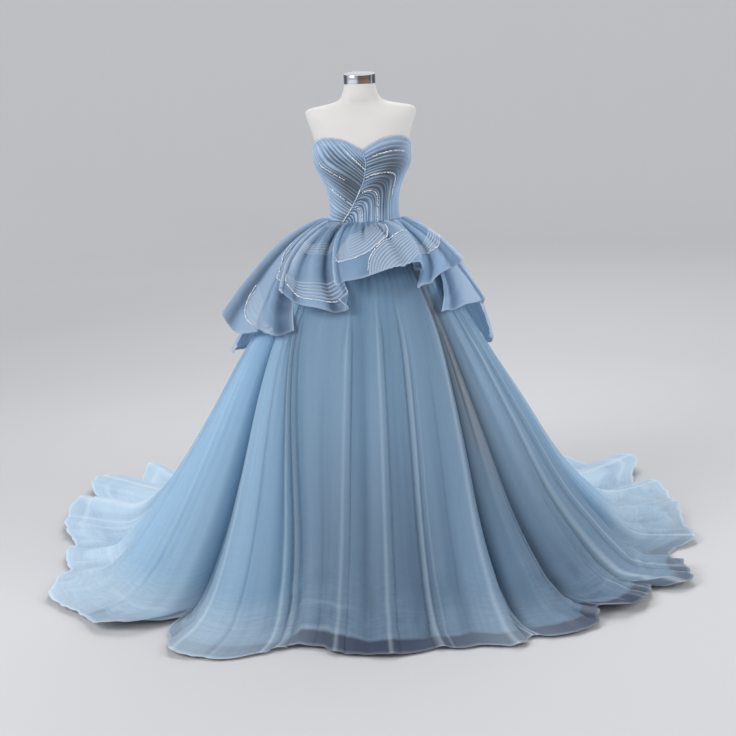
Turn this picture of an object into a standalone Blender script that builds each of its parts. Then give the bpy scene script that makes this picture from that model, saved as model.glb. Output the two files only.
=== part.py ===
"""A strapless ball gown on a limbless dress form, in metres, +Z up.

The origin is on the floor, on the form's axis, under the middle of its stand.
The gown faces -Y. "left" is the -X side and "right" is the +X side.
Angles are in degrees round the axis: 0 at the front, 90 on the right,
180 at the centre back and -90 on the left.
"""

import math

import bmesh
import bpy
import numpy as np

# Driving sizes
CLOTH = 0.002  # every skirt and peplum wall
BODICE_WALL = 0.0026  # pleated tulle over its foundation
SEAM_GAP = 0.0003  # between pieces that are sewn together
EDGE_IN = 0.7 * SEAM_GAP  # each side edge moves in this far, along a slanting seam too
FORM_EASE = 0.0030  # the bodice stands this far off the form
WAIST = 1.100  # height of the waist seam
SEAM_TOP = WAIST - SEAM_GAP  # top edge of skirt and peplum
SKIRT_OUT = FORM_EASE + CLOTH  # outer face of the skirt at the seam, from the form
PEPLUM_OUT = SKIRT_OUT + SEAM_GAP + CLOTH  # outer face of the peplum at the seam

# Stand and neck cap
BASE_RADIUS = 0.170
BASE_THICK = 0.018
POLE_RADIUS = 0.016
COLLAR_HEIGHT = 0.030  # at each end of the pole
COLLAR_SLOPE = 0.004
FORM_FOOT = 0.800  # underside of the form
CAP_RADIUS = 0.0500
CAP_HEIGHT = 0.032
CAP_LEAN = math.radians(7.0)  # the neck is cut on a slant, lower at the front
NECK_TOP = 1.528

# The dress form: height, half width, depth to the front, depth to the back
FORM_RINGS = (
    (0.800, 0.142, 0.088, 0.098),
    (0.812, 0.158, 0.098, 0.110),
    (0.900, 0.166, 0.104, 0.120),
    (0.980, 0.152, 0.099, 0.108),
    (1.050, 0.124, 0.087, 0.088),
    (1.100, 0.108, 0.080, 0.079),
    (1.145, 0.1045, 0.080, 0.077),
    (1.190, 0.110, 0.087, 0.081),
    (1.235, 0.127, 0.096, 0.090),
    (1.290, 0.149, 0.104, 0.099),
    (1.340, 0.1495, 0.095, 0.102),
    (1.390, 0.161, 0.081, 0.100),
    (1.425, 0.1725, 0.068, 0.090),
    (1.443, 0.1760, 0.056, 0.078),
    (1.454, 0.1680, 0.048, 0.068),
    (1.463, 0.1300, 0.044, 0.060),
    (1.472, 0.0860, 0.045, 0.055),
    (1.484, 0.0640, 0.049, 0.053),
    (1.505, 0.0540, 0.050, 0.050),
    (1.528, 0.0490, 0.049, 0.049),
)
CUP_RISE = 0.020  # the bust, as two soft rounds in the front
CUP_ANGLE = 40.0
CUP_SPREAD = 26.0
CUP_HEIGHT = 1.285
CUP_SIZE = 0.048

# Neckline: angle from the front, height
NECKLINE = (
    (0.0, 1.330),
    (10.0, 1.346),
    (24.0, 1.363),
    (42.0, 1.369),
    (62.0, 1.362),
    (90.0, 1.338),
    (125.0, 1.300),
    (180.0, 1.275),
)
# Seam between the two swirls of pleats: angle, height
SWIRL_SEAM = (
    (0.0, 1.330),
    (3.0, 1.285),
    (1.0, 1.240),
    (-9.0, 1.190),
    (-22.0, 1.145),
    (-38.0, 1.100),
)
PLEATS = 26  # in each front panel
PLEAT_STEPS = 10
PLEAT_RISE = 0.0022
PLEAT_SOFTENING = 5  # rounds of evening out along each pleat
PLEAT_EDGE = 0.2  # share of the panel over which the first pleats keep their edge's line
ZIP_HALF_ANGLE = 1.6
BODY_RADIUS = 0.12  # turns degrees round the body into metres
FIRST_PLEAT = 9.0  # the left panel's first pleat starts on the neckline, this far round
FAN_END = -30.0  # where the right panel's last pleat ends on the waist
SIDE_SEAM = 0.08  # half a seam gap at the side and the swirl seam, in degrees
SWIRL_GAP = 0.10
ZIP_SEAM = 0.25
BACK_STEPS = 8

# Skirt reach from the axis: height, front, right, back, left
SKIRT_PROFILE = (
    (0.000, 0.830, 0.845, 1.010, 0.885),
    (0.100, 0.728, 0.745, 0.830, 0.780),
    (0.250, 0.610, 0.617, 0.670, 0.665),
    (0.450, 0.485, 0.505, 0.520, 0.535),
    (0.650, 0.368, 0.392, 0.400, 0.420),
    (0.800, 0.285, 0.305, 0.310, 0.325),
    (0.950, 0.200, 0.220, 0.225, 0.230),
    (1.050, 0.128, 0.146, 0.140, 0.148),
    (1.100, 0.090, 0.115, 0.090, 0.115),
)
SKIRT_EASE_IN = 0.070  # height over which the waist's outline becomes the profile's
FOLD_GROWTH = 1.25  # folds deepen downwards with this power of the drop
# The folds lean outwards as they rise: angle at the hem, turn at LEAN_HEIGHT and above
FOLD_LEAN = (
    (-180.0, 0.0),
    (-92.0, -2.0),
    (-66.0, -12.0),
    (-45.0, -19.0),
    (-35.0, -20.0),
    (-19.0, -27.0),
    (-8.0, -5.0),
    (2.0, 3.5),
    (10.5, 9.0),
    (24.0, 17.0),
    (41.0, 8.0),
    (61.0, 6.0),
    (90.0, 0.0),
    (180.0, 0.0),
)
LEAN_HEIGHT = 0.80
LEAN_POWER = 1.6
LEAST_LYING = 0.025  # cloth that lies on the floor beyond the fold, at least
RIDGE_SHARE = 0.30  # height of a fold where it meets the floor, as a share of its depth
# Every fold and hollow of the skirt at the floor:
# angle, depth outwards, reach of the hem, lift of the hem off the floor
SKIRT_FOLDS = (
    (-180.0, -0.040, 1.240, 0.000),
    (-172.0, 0.040, 1.265, 0.010),
    (-164.0, -0.050, 1.225, 0.000),
    (-156.0, 0.045, 1.240, 0.015),
    (-149.0, -0.050, 1.160, 0.000),
    (-142.0, 0.040, 1.165, 0.020),
    (-136.0, -0.040, 1.120, 0.000),
    (-130.5, 0.040, 1.165, 0.055),
    (-127.0, -0.030, 1.150, 0.000),
    (-123.5, 0.050, 1.285, 0.035),
    (-119.0, 0.000, 1.235, 0.025),
    (-115.5, -0.040, 1.135, 0.000),
    (-111.5, 0.050, 1.195, 0.040),
    (-104.0, 0.015, 1.155, 0.025),
    (-97.0, -0.020, 1.090, 0.012),
    (-92.0, -0.050, 1.045, 0.000),
    (-86.0, 0.020, 1.045, 0.018),
    (-80.0, -0.030, 1.030, 0.000),
    (-73.0, 0.060, 1.090, 0.012),
    (-66.0, 0.078, 1.105, 0.010),
    (-59.0, 0.070, 1.072, 0.008),
    (-52.0, 0.062, 1.070, 0.014),
    (-47.5, 0.030, 1.015, 0.032),
    (-44.0, -0.110, 0.810, 0.026),
    (-40.5, -0.010, 0.945, 0.000),
    (-34.0, 0.065, 1.018, 0.000),
    (-28.0, 0.055, 1.008, 0.000),
    (-22.5, 0.020, 0.945, 0.000),
    (-18.5, -0.040, 0.878, 0.000),
    (-15.0, 0.005, 0.850, 0.000),
    (-11.0, 0.008, 0.853, 0.000),
    (-7.0, 0.034, 0.888, 0.000),
    (-2.5, 0.010, 0.899, 0.000),
    (2.0, 0.032, 0.905, 0.000),
    (6.5, 0.012, 0.898, 0.000),
    (10.5, -0.034, 0.884, 0.000),
    (14.0, 0.014, 0.905, 0.000),
    (19.0, 0.026, 0.916, 0.000),
    (24.0, 0.048, 0.950, 0.000),
    (27.5, -0.052, 0.920, 0.000),
    (31.0, 0.020, 0.964, 0.000),
    (35.5, 0.046, 0.985, 0.005),
    (39.0, 0.016, 0.980, 0.000),
    (42.5, -0.085, 0.915, 0.010),
    (46.5, 0.010, 0.992, 0.018),
    (51.0, 0.034, 1.005, 0.018),
    (55.0, 0.030, 0.990, 0.010),
    (58.5, -0.060, 0.965, 0.000),
    (62.5, 0.034, 1.075, 0.012),
    (67.0, 0.052, 1.030, 0.020),
    (72.0, 0.026, 0.995, 0.010),
    (77.0, -0.040, 1.000, 0.000),
    (83.0, 0.034, 1.075, 0.012),
    (90.0, -0.010, 1.055, 0.018),
    (97.0, 0.030, 1.068, 0.030),
    (104.0, -0.020, 1.090, 0.012),
    (110.0, 0.034, 1.110, 0.030),
    (114.5, -0.020, 1.085, 0.008),
    (119.0, 0.020, 1.125, 0.018),
    (124.0, 0.050, 1.220, 0.045),
    (129.0, -0.030, 1.100, 0.000),
    (136.0, 0.040, 1.105, 0.018),
    (143.5, -0.040, 1.090, 0.000),
    (151.5, 0.045, 1.170, 0.015),
    (160.0, -0.050, 1.180, 0.000),
    (168.0, 0.045, 1.250, 0.012),
    (174.0, -0.020, 1.250, 0.000),
)
STEPS_PER_FOLD = 2  # columns from each row of SKIRT_FOLDS to the next
HANGING_STEPS = 7
HANGING_CROWD = 1.25  # steps crowd towards the waist with this power
LYING_STEPS = 2
# Panels of the skirt, each from one fold to another, by the angle of the fold
SKIRT_PANELS = (
    ("train_left", -180.0, -92.0),
    ("skirt_left", -92.0, -40.5),
    ("skirt_front", -40.5, 39.0),
    ("skirt_right", 39.0, 90.0),
    ("train_right", 90.0, 180.0),
)

# Underskirt, which shows through the sheer hem
UNDERSKIRT_TOP = SEAM_TOP * (1 - (1 / HANGING_STEPS) ** HANGING_CROWD)  # sewn on here
UNDERSKIRT_HEM = 0.030
UNDERSKIRT_COLUMNS = 40
UNDERSKIRT_STEPS = 7
UNDERSKIRT_LOOK = (4.0, 10.0)  # it stays inside the skirt this far round, at its top and below
UNDERSKIRT_SAMPLE = 1.0  # degrees between the places where it looks
UNDERSKIRT_CLEAR = (0.0035, 0.030)  # from the skirt's outer face, at its top and below
UNDERSKIRT_FALL = 0.2  # height over which it leaves the skirt

# Flounces of the peplum. Each row is one line of the cloth from the waist to the hem:
# angle at the waist, angle at the hem, reach, height, belly (share of the reach), belly height.
# The back one goes all round the back and is seamed on the row at 180.
PEPLUM_STEPS_PER_ROW = 2
PEPLUM_STEPS = 6
PEPLUM = {
    "peplum_front_centre": (
        (-34.0, -19.0, 0.296, 0.927, 0.42, 1.084),
        (-28.0, -15.0, 0.305, 0.943, 0.42, 1.090),
        (-20.0, -6.0, 0.315, 0.955, 0.42, 1.090),
        (-6.0, 3.0, 0.320, 0.970, 0.42, 1.085),
        (10.0, 10.5, 0.325, 0.984, 0.42, 1.090),
        (28.0, 22.5, 0.327, 0.999, 0.42, 1.092),
        (42.0, 29.5, 0.320, 0.996, 0.42, 1.088),
        (52.0, 35.0, 0.300, 0.945, 0.42, 1.070),
        (59.0, 29.0, 0.262, 0.922, 0.42, 1.052),
    ),
    "peplum_front_left": (
        (-75.0, -51.0, 0.345, 0.912, 0.42, 1.068),
        (-70.0, -47.5, 0.355, 0.901, 0.42, 1.066),
        (-63.0, -41.0, 0.355, 0.885, 0.42, 1.062),
        (-56.0, -34.0, 0.350, 0.869, 0.42, 1.056),
        (-48.0, -24.0, 0.328, 0.857, 0.42, 1.050),
        (-41.0, -13.0, 0.298, 0.848, 0.42, 1.044),
        (-35.0, -7.0, 0.278, 0.862, 0.42, 1.040),
    ),
    "peplum_left": (
        (-75.6, -44.0, 0.335, 0.786, 0.42, 1.030),
        (-79.0, -49.0, 0.396, 0.774, 0.42, 1.045),
        (-82.0, -54.5, 0.404, 0.777, 0.42, 1.060),
        (-85.0, -60.0, 0.402, 0.782, 0.42, 1.070),
        (-88.0, -66.0, 0.392, 0.762, 0.42, 1.075),
        (-91.0, -74.0, 0.436, 0.752, 0.42, 1.084),
        (-95.0, -83.0, 0.470, 0.772, 0.42, 1.090),
        (-99.0, -90.0, 0.486, 0.794, 0.42, 1.092),
        (-103.0, -97.0, 0.468, 0.752, 0.42, 1.088),
        (-107.4, -105.0, 0.462, 0.708, 0.42, 1.080),
    ),
    "peplum_right": (
        (60.0, 30.0, 0.300, 0.908, 0.42, 1.034),
        (64.0, 36.0, 0.330, 0.935, 0.42, 1.050),
        (69.0, 47.0, 0.322, 0.948, 0.42, 1.062),
        (74.0, 59.0, 0.318, 0.955, 0.42, 1.074),
        (79.0, 71.0, 0.322, 0.960, 0.42, 1.084),
        (83.5, 82.0, 0.322, 0.955, 0.42, 1.088),
    ),
    "peplum_right_lower": (
        (84.4, 42.0, 0.334, 0.827, 0.42, 1.010),
        (86.0, 50.0, 0.338, 0.824, 0.42, 1.022),
        (88.0, 60.0, 0.346, 0.826, 0.42, 1.036),
        (90.5, 71.0, 0.362, 0.822, 0.42, 1.050),
        (93.0, 80.0, 0.380, 0.818, 0.42, 1.062),
        (95.0, 87.0, 0.392, 0.815, 0.42, 1.072),
        (97.0, 94.0, 0.388, 0.790, 0.42, 1.066),
    ),
    "peplum_back": (
        (97.6, 100.0, 0.415, 0.700, 0.66, 1.030),
        (102.0, 104.0, 0.432, 0.668, 0.72, 1.030),
        (109.0, 110.0, 0.442, 0.642, 0.70, 1.030),
        (119.0, 120.0, 0.448, 0.660, 0.56, 1.025),
        (131.0, 132.0, 0.500, 0.650, 0.60, 1.045),
        (143.0, 143.5, 0.450, 0.662, 0.56, 1.025),
        (155.0, 155.0, 0.505, 0.648, 0.60, 1.045),
        (167.0, 167.0, 0.455, 0.660, 0.56, 1.025),
        (180.0, 180.0, 0.490, 0.652, 0.60, 1.040),
        (192.0, 193.0, 0.456, 0.660, 0.56, 1.025),
        (203.0, 204.0, 0.503, 0.648, 0.60, 1.045),
        (214.0, 215.0, 0.458, 0.662, 0.56, 1.025),
        (225.0, 227.0, 0.500, 0.650, 0.60, 1.040),
        (235.0, 240.0, 0.462, 0.660, 0.56, 1.015),
        (244.0, 252.0, 0.470, 0.655, 0.52, 1.005),
        (249.0, 261.0, 0.478, 0.660, 0.48, 0.998),
        (251.8, 266.0, 0.450, 0.690, 0.44, 0.990),
    ),
}

# Finishes: colour, roughness, metallic
FINISHES = {
    "tulle": ((0.36, 0.52, 0.68), 0.75, 0.0),
    "peplum organza": ((0.42, 0.57, 0.73), 0.60, 0.0),
    "pleated bodice": ((0.34, 0.45, 0.56), 0.65, 0.0),
    "form cover": ((0.83, 0.80, 0.77), 0.70, 0.0),
    "chrome": ((0.80, 0.81, 0.83), 0.12, 1.0),
    "white paint": ((0.82, 0.82, 0.82), 0.40, 0.0),
}


def smooth(places, values, at):
    """A cubic through (places, values) that doesn't overshoot, read at `at`."""
    places, values = np.asarray(places, float), np.asarray(values, float)
    at = np.asarray(at, float)
    width = np.diff(places)
    slope = np.diff(values) / width
    tangent = np.zeros_like(values)
    product = slope[:-1] * slope[1:]
    total = np.where(product > 0, slope[:-1] + slope[1:], 1.0)
    tangent[1:-1] = np.where(product > 0, 2 * product / total, 0.0)
    tangent[0], tangent[-1] = slope[0], slope[-1]
    piece = np.clip(np.searchsorted(places, at) - 1, 0, len(width) - 1)
    t = np.clip((at - places[piece]) / width[piece], 0.0, 1.0)
    return (
        values[piece] * (1 + 2 * t) * (1 - t) ** 2
        + values[piece + 1] * t * t * (3 - 2 * t)
        + width[piece] * tangent[piece] * t * (1 - t) ** 2
        + width[piece] * tangent[piece + 1] * t * t * (t - 1)
    )


def column(table, number):
    return [row[number] for row in table]


def blend(first, second, share):
    return first + (second - first) * share


def soft_step(t):
    t = np.clip(t, 0.0, 1.0)
    return t * t * (3 - 2 * t)


def polar(angle, reach, height):
    """A point at this angle from the front, this far from the axis."""
    turn = np.radians(angle)
    return np.stack(
        np.broadcast_arrays(reach * np.sin(turn), -reach * np.cos(turn), height), -1
    )


# --- The dress form ---------------------------------------------------------


def form_point(angle, height, out=0.0):
    """A point of the form's surface, moved out horizontally by `out`."""
    angle, height = np.broadcast_arrays(np.asarray(angle, float), height)
    heights = column(FORM_RINGS, 0)
    wide = smooth(heights, column(FORM_RINGS, 1), height)
    front = smooth(heights, column(FORM_RINGS, 2), height)
    back = smooth(heights, column(FORM_RINGS, 3), height)
    side, ahead = np.sin(np.radians(angle)), np.cos(np.radians(angle))
    deep = np.where(ahead > 0, front, back)
    cup = np.exp(
        -(((np.abs(angle) - CUP_ANGLE) / CUP_SPREAD) ** 2)
        - ((height - CUP_HEIGHT) / CUP_SIZE) ** 2
    )
    normal = np.stack([side / wide, -ahead / deep], -1)
    normal /= np.linalg.norm(normal, axis=-1, keepdims=True)
    flat = np.stack([wide * side, -deep * ahead], -1)
    flat = flat + normal * (out + CUP_RISE * cup)[..., None]
    return np.concatenate([flat, height[..., None]], -1)


# --- Meshes -----------------------------------------------------------------


def add_object(name, points, faces, finish):
    """One closed mesh object, its faces turned outwards."""
    mesh = bpy.data.meshes.new(name)
    mesh.from_pydata([tuple(map(float, point)) for point in points], [], faces)
    shape = bmesh.new()
    shape.from_mesh(mesh)
    bmesh.ops.recalc_face_normals(shape, faces=shape.faces)
    if shape.calc_volume(signed=True) < 0:
        bmesh.ops.reverse_faces(shape, faces=shape.faces)
    shape.to_mesh(mesh)
    shape.free()
    mesh.shade_smooth()
    mesh.set_sharp_from_angle(angle=math.radians(50))
    mesh.materials.append(finish)
    thing = bpy.data.objects.new(name, mesh)
    bpy.context.scene.collection.objects.link(thing)
    return thing


def add_wall(name, outer, inner, finish):
    """A wall between two grids of points, closed along its four edges."""
    across, along = outer.shape[:2]
    size = across * along
    points = np.concatenate([outer.reshape(-1, 3), inner.reshape(-1, 3)])
    faces = []
    for i in range(across - 1):
        for j in range(along - 1):
            a, b = i * along + j, (i + 1) * along + j
            for side in (0, size):
                faces.append((side + a, side + b, side + b + 1))
                faces.append((side + a, side + b + 1, side + a + 1))
    ring = [(i, 0) for i in range(across)]
    ring += [(across - 1, j) for j in range(1, along)]
    ring += [(i, along - 1) for i in range(across - 2, -1, -1)]
    ring += [(0, j) for j in range(along - 2, 0, -1)]
    for (i, j), (k, m) in zip(ring, ring[1:] + ring[:1]):
        low, high = sorted((i * along + j, k * along + m))
        faces.append((low, size + high, high))
        faces.append((low, size + low, size + high))
    return add_object(name, points, faces, finish)


def add_turned(name, rings, finish):
    """A solid from closed rings of points, capped flat at both ends."""
    count, around = len(rings), len(rings[0])
    faces = [tuple(range(around)), tuple((count - 1) * around + i for i in range(around))]
    for k in range(count - 1):
        for i in range(around):
            a, b = k * around + i, k * around + (i + 1) % around
            faces.append((a, b, b + around, a + around))
    return add_object(name, np.concatenate(rings), faces, finish)


def grid_normals(grid, wraps):
    """The unit normals of a grid of points, which may be closed across."""
    if wraps:
        across = np.roll(grid, -1, 0) - np.roll(grid, 1, 0)
    else:
        across = np.gradient(grid, axis=0)
    along = np.gradient(grid, axis=1)
    normal = np.cross(along, across)
    return normal / np.linalg.norm(normal, axis=-1, keepdims=True)


# --- Form, cap and stand ----------------------------------------------------


def make_form(finish):
    angles = np.linspace(-180, 180, 26, endpoint=False)
    steps = sorted(set(column(FORM_RINGS, 0)) | {1.262, 1.315, 1.365})
    add_turned("form_torso", [form_point(angles, height) for height in steps], finish)


def make_cap(finish):
    """A short cylinder on the neck, its top slanting down to the front."""
    around = np.radians(np.linspace(0, 360, 32, endpoint=False))
    rings = []
    for radius, height in (
        (CAP_RADIUS, 0.0),
        (CAP_RADIUS, CAP_HEIGHT - 0.002),
        (CAP_RADIUS - 0.002, CAP_HEIGHT),
        (CAP_RADIUS - 0.012, CAP_HEIGHT + 0.0015),
    ):
        rise = NECK_TOP + SEAM_GAP + height
        lean = math.tan(CAP_LEAN) * height / CAP_HEIGHT
        x, y = radius * np.sin(around), radius * np.cos(around)
        rings.append(np.stack([x, y, rise + y * lean], -1))
    add_turned("neck_cap", rings, finish)


def disc_rings(radius_heights):
    around = np.linspace(0, 360, 32, endpoint=False)
    return [polar(around, radius, height) for radius, height in radius_heights]


def make_stand(finish):
    dome = BASE_THICK + 0.006
    add_turned(
        "stand_base",
        disc_rings(
            (
                (BASE_RADIUS, 0.0),
                (BASE_RADIUS, BASE_THICK - 0.004),
                (BASE_RADIUS - 0.006, BASE_THICK),
                (POLE_RADIUS * 1.6, dome),
            )
        ),
        finish,
    )
    foot, top = dome + SEAM_GAP, FORM_FOOT - SEAM_GAP
    collar, low, high = 2 * POLE_RADIUS, foot + COLLAR_HEIGHT, top - COLLAR_HEIGHT
    add_turned(
        "stand_pole",
        disc_rings(
            (
                (collar, foot),
                (collar, low),
                (POLE_RADIUS, low + COLLAR_SLOPE),
                (POLE_RADIUS, high - COLLAR_SLOPE),
                (collar, high),
                (collar, top),
            )
        ),
        finish,
    )


# --- Bodice -----------------------------------------------------------------


def neckline(angle):
    return smooth(column(NECKLINE, 0), column(NECKLINE, 1), np.abs(angle))


def neckline_path(start, end, count=24):
    angles = np.linspace(start, end, count)
    return np.stack([angles, neckline(angles)], -1)


def along_path(path, share):
    """Points at these shares of the length of a path of (angle, height) points."""
    path = np.asarray(path, float)
    real = path * (math.radians(1) * BODY_RADIUS, 1.0)
    length = np.concatenate([[0], np.cumsum(np.linalg.norm(np.diff(real, axis=0), axis=1))])
    at = np.asarray(share) * length[-1]
    return np.stack([np.interp(at, length, path[:, k]) for k in (0, 1)], -1)


def swirl_seam(side, count=24):
    """The seam between the swirls, half a seam gap to one side."""
    heights = np.linspace(SWIRL_SEAM[0][1], SWIRL_SEAM[-1][1], count)
    turned = [-height for height in column(SWIRL_SEAM, 1)]
    angles = smooth(turned, column(SWIRL_SEAM, 0), -heights)
    return np.stack([angles + side * SWIRL_GAP, heights], -1)


def patch(start, end, first, last, shares, steps):
    """A four-sided patch: start and end edges joined by lines, the first and last given."""
    u, v = shares[:, None, None], steps[None, :, None]
    sides = (1 - v) * start[:, None] + v * end[:, None]
    ends = (1 - u) * first[None] + u * last[None]
    corners = (1 - u) * ((1 - v) * start[0] + v * end[0]) + u * (
        (1 - v) * start[-1] + v * end[-1]
    )
    flat = sides + ends - corners
    soft = soft_step(u / PLEAT_EDGE)
    for _ in range(PLEAT_SOFTENING):
        even = 0.25 * (flat[:, :-2] + 2 * flat[:, 1:-1] + flat[:, 2:])
        flat[:, 1:-1] = blend(flat[:, 1:-1], even, soft)
    return flat


def make_front(name, start, end, first, last, finish):
    """A pleated front panel. Its pleats run from the start edge to the end edge."""
    shares = np.linspace(0, 1, 2 * PLEATS + 1)
    steps = np.linspace(0, 1, PLEAT_STEPS + 1)
    flat = patch(
        along_path(start, shares),
        along_path(end, shares),
        along_path(first, steps),
        along_path(last, steps),
        shares,
        steps,
    )
    rise = np.where(np.arange(len(shares)) % 2, PLEAT_RISE, 0.0)[:, None]
    inner = form_point(flat[..., 0], flat[..., 1], FORM_EASE)
    outer = form_point(flat[..., 0], flat[..., 1], FORM_EASE + BODICE_WALL + rise)
    add_wall(name, outer, inner, finish)


def make_bodice(finish, zip_finish):
    side = 90.0 - SIDE_SEAM
    left_corner, right_corner = (-side, WAIST), (side, WAIST)
    seam_left, seam_right = swirl_seam(-1), swirl_seam(1)
    make_front(
        "bodice_front_left",
        start=np.concatenate([neckline_path(-FIRST_PLEAT, -side), [left_corner]]),
        end=seam_left,
        first=neckline_path(-FIRST_PLEAT, seam_left[0][0], 4),
        last=[left_corner, seam_left[-1]],
        finish=finish,
    )
    make_front(
        "bodice_front_right",
        start=seam_right,
        end=[right_corner, (FAN_END, WAIST)],
        first=np.concatenate([neckline_path(seam_right[0][0], side), [right_corner]]),
        last=[seam_right[-1], (FAN_END, WAIST)],
        finish=finish,
    )
    edge = 180 - ZIP_HALF_ANGLE
    for name, sign in (("bodice_back_left", -1), ("bodice_back_right", 1)):
        add_back(name, sign * (90.0 + SIDE_SEAM), sign * (edge - ZIP_SEAM), 9, finish)
    add_back("back_zip", edge, 360 - edge, 3, zip_finish)


def add_back(name, start, end, columns, finish):
    """A plain panel of the back, from the waist to the neckline."""
    angles = np.linspace(start, end, columns)[:, None]
    tops = neckline(np.where(angles > 180, 360 - angles, angles))
    heights = blend(WAIST, tops, np.linspace(0, 1, BACK_STEPS + 1)[None])
    outer = form_point(angles, heights, FORM_EASE + BODICE_WALL)
    add_wall(name, outer, form_point(angles, heights, FORM_EASE), finish)


# --- Skirt ------------------------------------------------------------------


def fold_value(number, angle):
    """One column of SKIRT_FOLDS, read all the way round."""
    angles, values = column(SKIRT_FOLDS, 0), column(SKIRT_FOLDS, number)
    turned = (np.asarray(angle, float) + 180.0) % 360.0 - 180.0
    return smooth(
        [angles[-1] - 360] + angles + [angles[0] + 360, angles[1] + 360],
        values[-1:] + values + values[:2],
        turned,
    )


def base_reach(angle, height):
    """How far the skirt's mean surface is from the axis."""
    turn = np.radians(angle)
    share = {
        1: np.maximum(0, np.cos(turn)) ** 2,
        2: np.maximum(0, np.sin(turn)) ** 2,
        3: np.maximum(0, -np.cos(turn)) ** 2,
        4: np.maximum(0, -np.sin(turn)) ** 2,
    }
    heights = column(SKIRT_PROFILE, 0)
    reach = sum(
        weight * smooth(heights, column(SKIRT_PROFILE, number), height)
        for number, weight in share.items()
    )
    waist = np.linalg.norm(form_point(angle, WAIST, SKIRT_OUT)[..., :2], axis=-1)
    return blend(waist, reach, soft_step((SEAM_TOP - height) / SKIRT_EASE_IN))


def lean_angle(fold, height):
    """The angle, at this height, of the line of cloth that meets the hem at `fold`."""
    turn = smooth(column(FOLD_LEAN, 0), column(FOLD_LEAN, 1), fold)
    return fold + turn * (np.minimum(height, LEAN_HEIGHT) / LEAN_HEIGHT) ** LEAN_POWER


def hanging_reach(fold, height):
    """The skirt's outer face, with its folds, while it hangs."""
    drop = np.clip((SEAM_TOP - height) / SEAM_TOP, 0, 1)
    depth = fold_value(1, fold) * drop**FOLD_GROWTH
    return base_reach(lean_angle(fold, height), height) + depth


def skirt_grid(folds, hanging_steps, lying_steps):
    """The skirt's outer face: columns down from the waist and out along the floor."""
    folds = np.asarray(folds, float)[:, None]
    ridge = RIDGE_SHARE * np.maximum(0, fold_value(1, folds))
    hem, lift = fold_value(2, folds), np.maximum(0, fold_value(3, folds))
    down = np.linspace(0, 1, hanging_steps + 1)[None] ** HANGING_CROWD
    heights = blend(SEAM_TOP, ridge, down)
    angles = lean_angle(folds, heights)
    hanging = polar(angles, hanging_reach(folds, heights), heights + CLOTH * down)
    touch = np.minimum(hanging_reach(folds, ridge), hem - LEAST_LYING)
    hanging[:, -1] = polar(folds, touch, ridge + CLOTH)[:, 0]
    out = np.linspace(0, 1, lying_steps + 1)[None, 1:]
    lying = polar(folds, blend(touch, hem, out), blend(ridge, lift, out) + CLOTH)
    return np.concatenate([hanging, lying], 1)


def thicken(outer, wraps):
    """The inner face of a cloth wall, flat where it meets the floor."""
    inner = outer - grid_normals(outer, wraps) * CLOTH
    top = outer[:, 0].copy()
    top[:, :2] *= 1 - CLOTH / np.linalg.norm(top[:, :2], axis=-1, keepdims=True)
    inner[:, 0] = top
    inner[..., 2] = np.maximum(inner[..., 2], 0.0)
    return inner


def pull_in(grid):
    """The same grid with its two side edges moved in, to leave a seam gap."""
    grid = grid.copy()
    for edge, beside in ((0, 1), (-1, -2)):
        way = grid[beside] - grid[edge]
        grid[edge] += way / np.linalg.norm(way, axis=-1, keepdims=True) * EDGE_IN
    return grid


def make_skirt(finish):
    rows = column(SKIRT_FOLDS, 0)
    ends = rows[1:] + [180.0]
    folds = np.concatenate(
        [np.linspace(a, b, STEPS_PER_FOLD, endpoint=False) for a, b in zip(rows, ends)]
    )
    outer = skirt_grid(folds, HANGING_STEPS, LYING_STEPS)
    inner = thicken(outer, wraps=True)
    for name, start, end in SKIRT_PANELS:
        first = int(np.argmin(abs(folds - start)))
        last = int(np.argmin(abs(folds - end))) if end < 180 else len(folds)
        numbers = np.arange(first, last + 1) % len(folds)
        add_wall(name, pull_in(outer[numbers]), pull_in(inner[numbers]), finish)


def make_underskirt(finish):
    """A plain lining cone inside every hollow of the skirt, in two halves."""
    angles = np.linspace(-180, 180, UNDERSKIRT_COLUMNS, endpoint=False)
    heights = np.linspace(UNDERSKIRT_TOP, UNDERSKIRT_HEM, UNDERSKIRT_STEPS + 1)
    fall = soft_step((UNDERSKIRT_TOP - heights) / UNDERSKIRT_FALL)
    look = blend(UNDERSKIRT_LOOK[0], UNDERSKIRT_LOOK[1], fall)
    folds = np.arange(-180, 180, UNDERSKIRT_SAMPLE)[:, None]
    apart = lean_angle(folds, heights) - angles[:, None, None]
    near = abs((apart + 180) % 360 - 180) <= look
    reach = np.where(near, hanging_reach(folds, heights), np.inf).min(1)
    reach = reach - blend(UNDERSKIRT_CLEAR[0], UNDERSKIRT_CLEAR[1], fall)
    outer = polar(angles[:, None], reach, heights[None])
    inner = thicken(outer, wraps=True)
    half, count = UNDERSKIRT_COLUMNS // 2, UNDERSKIRT_COLUMNS
    quarter = half // 2
    for name, first in (("underskirt_front", quarter), ("underskirt_back", quarter + half)):
        numbers = np.arange(first, first + half + 1) % count
        add_wall(name, pull_in(outer[numbers]), pull_in(inner[numbers]), finish)


# --- Peplum -----------------------------------------------------------------


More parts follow.
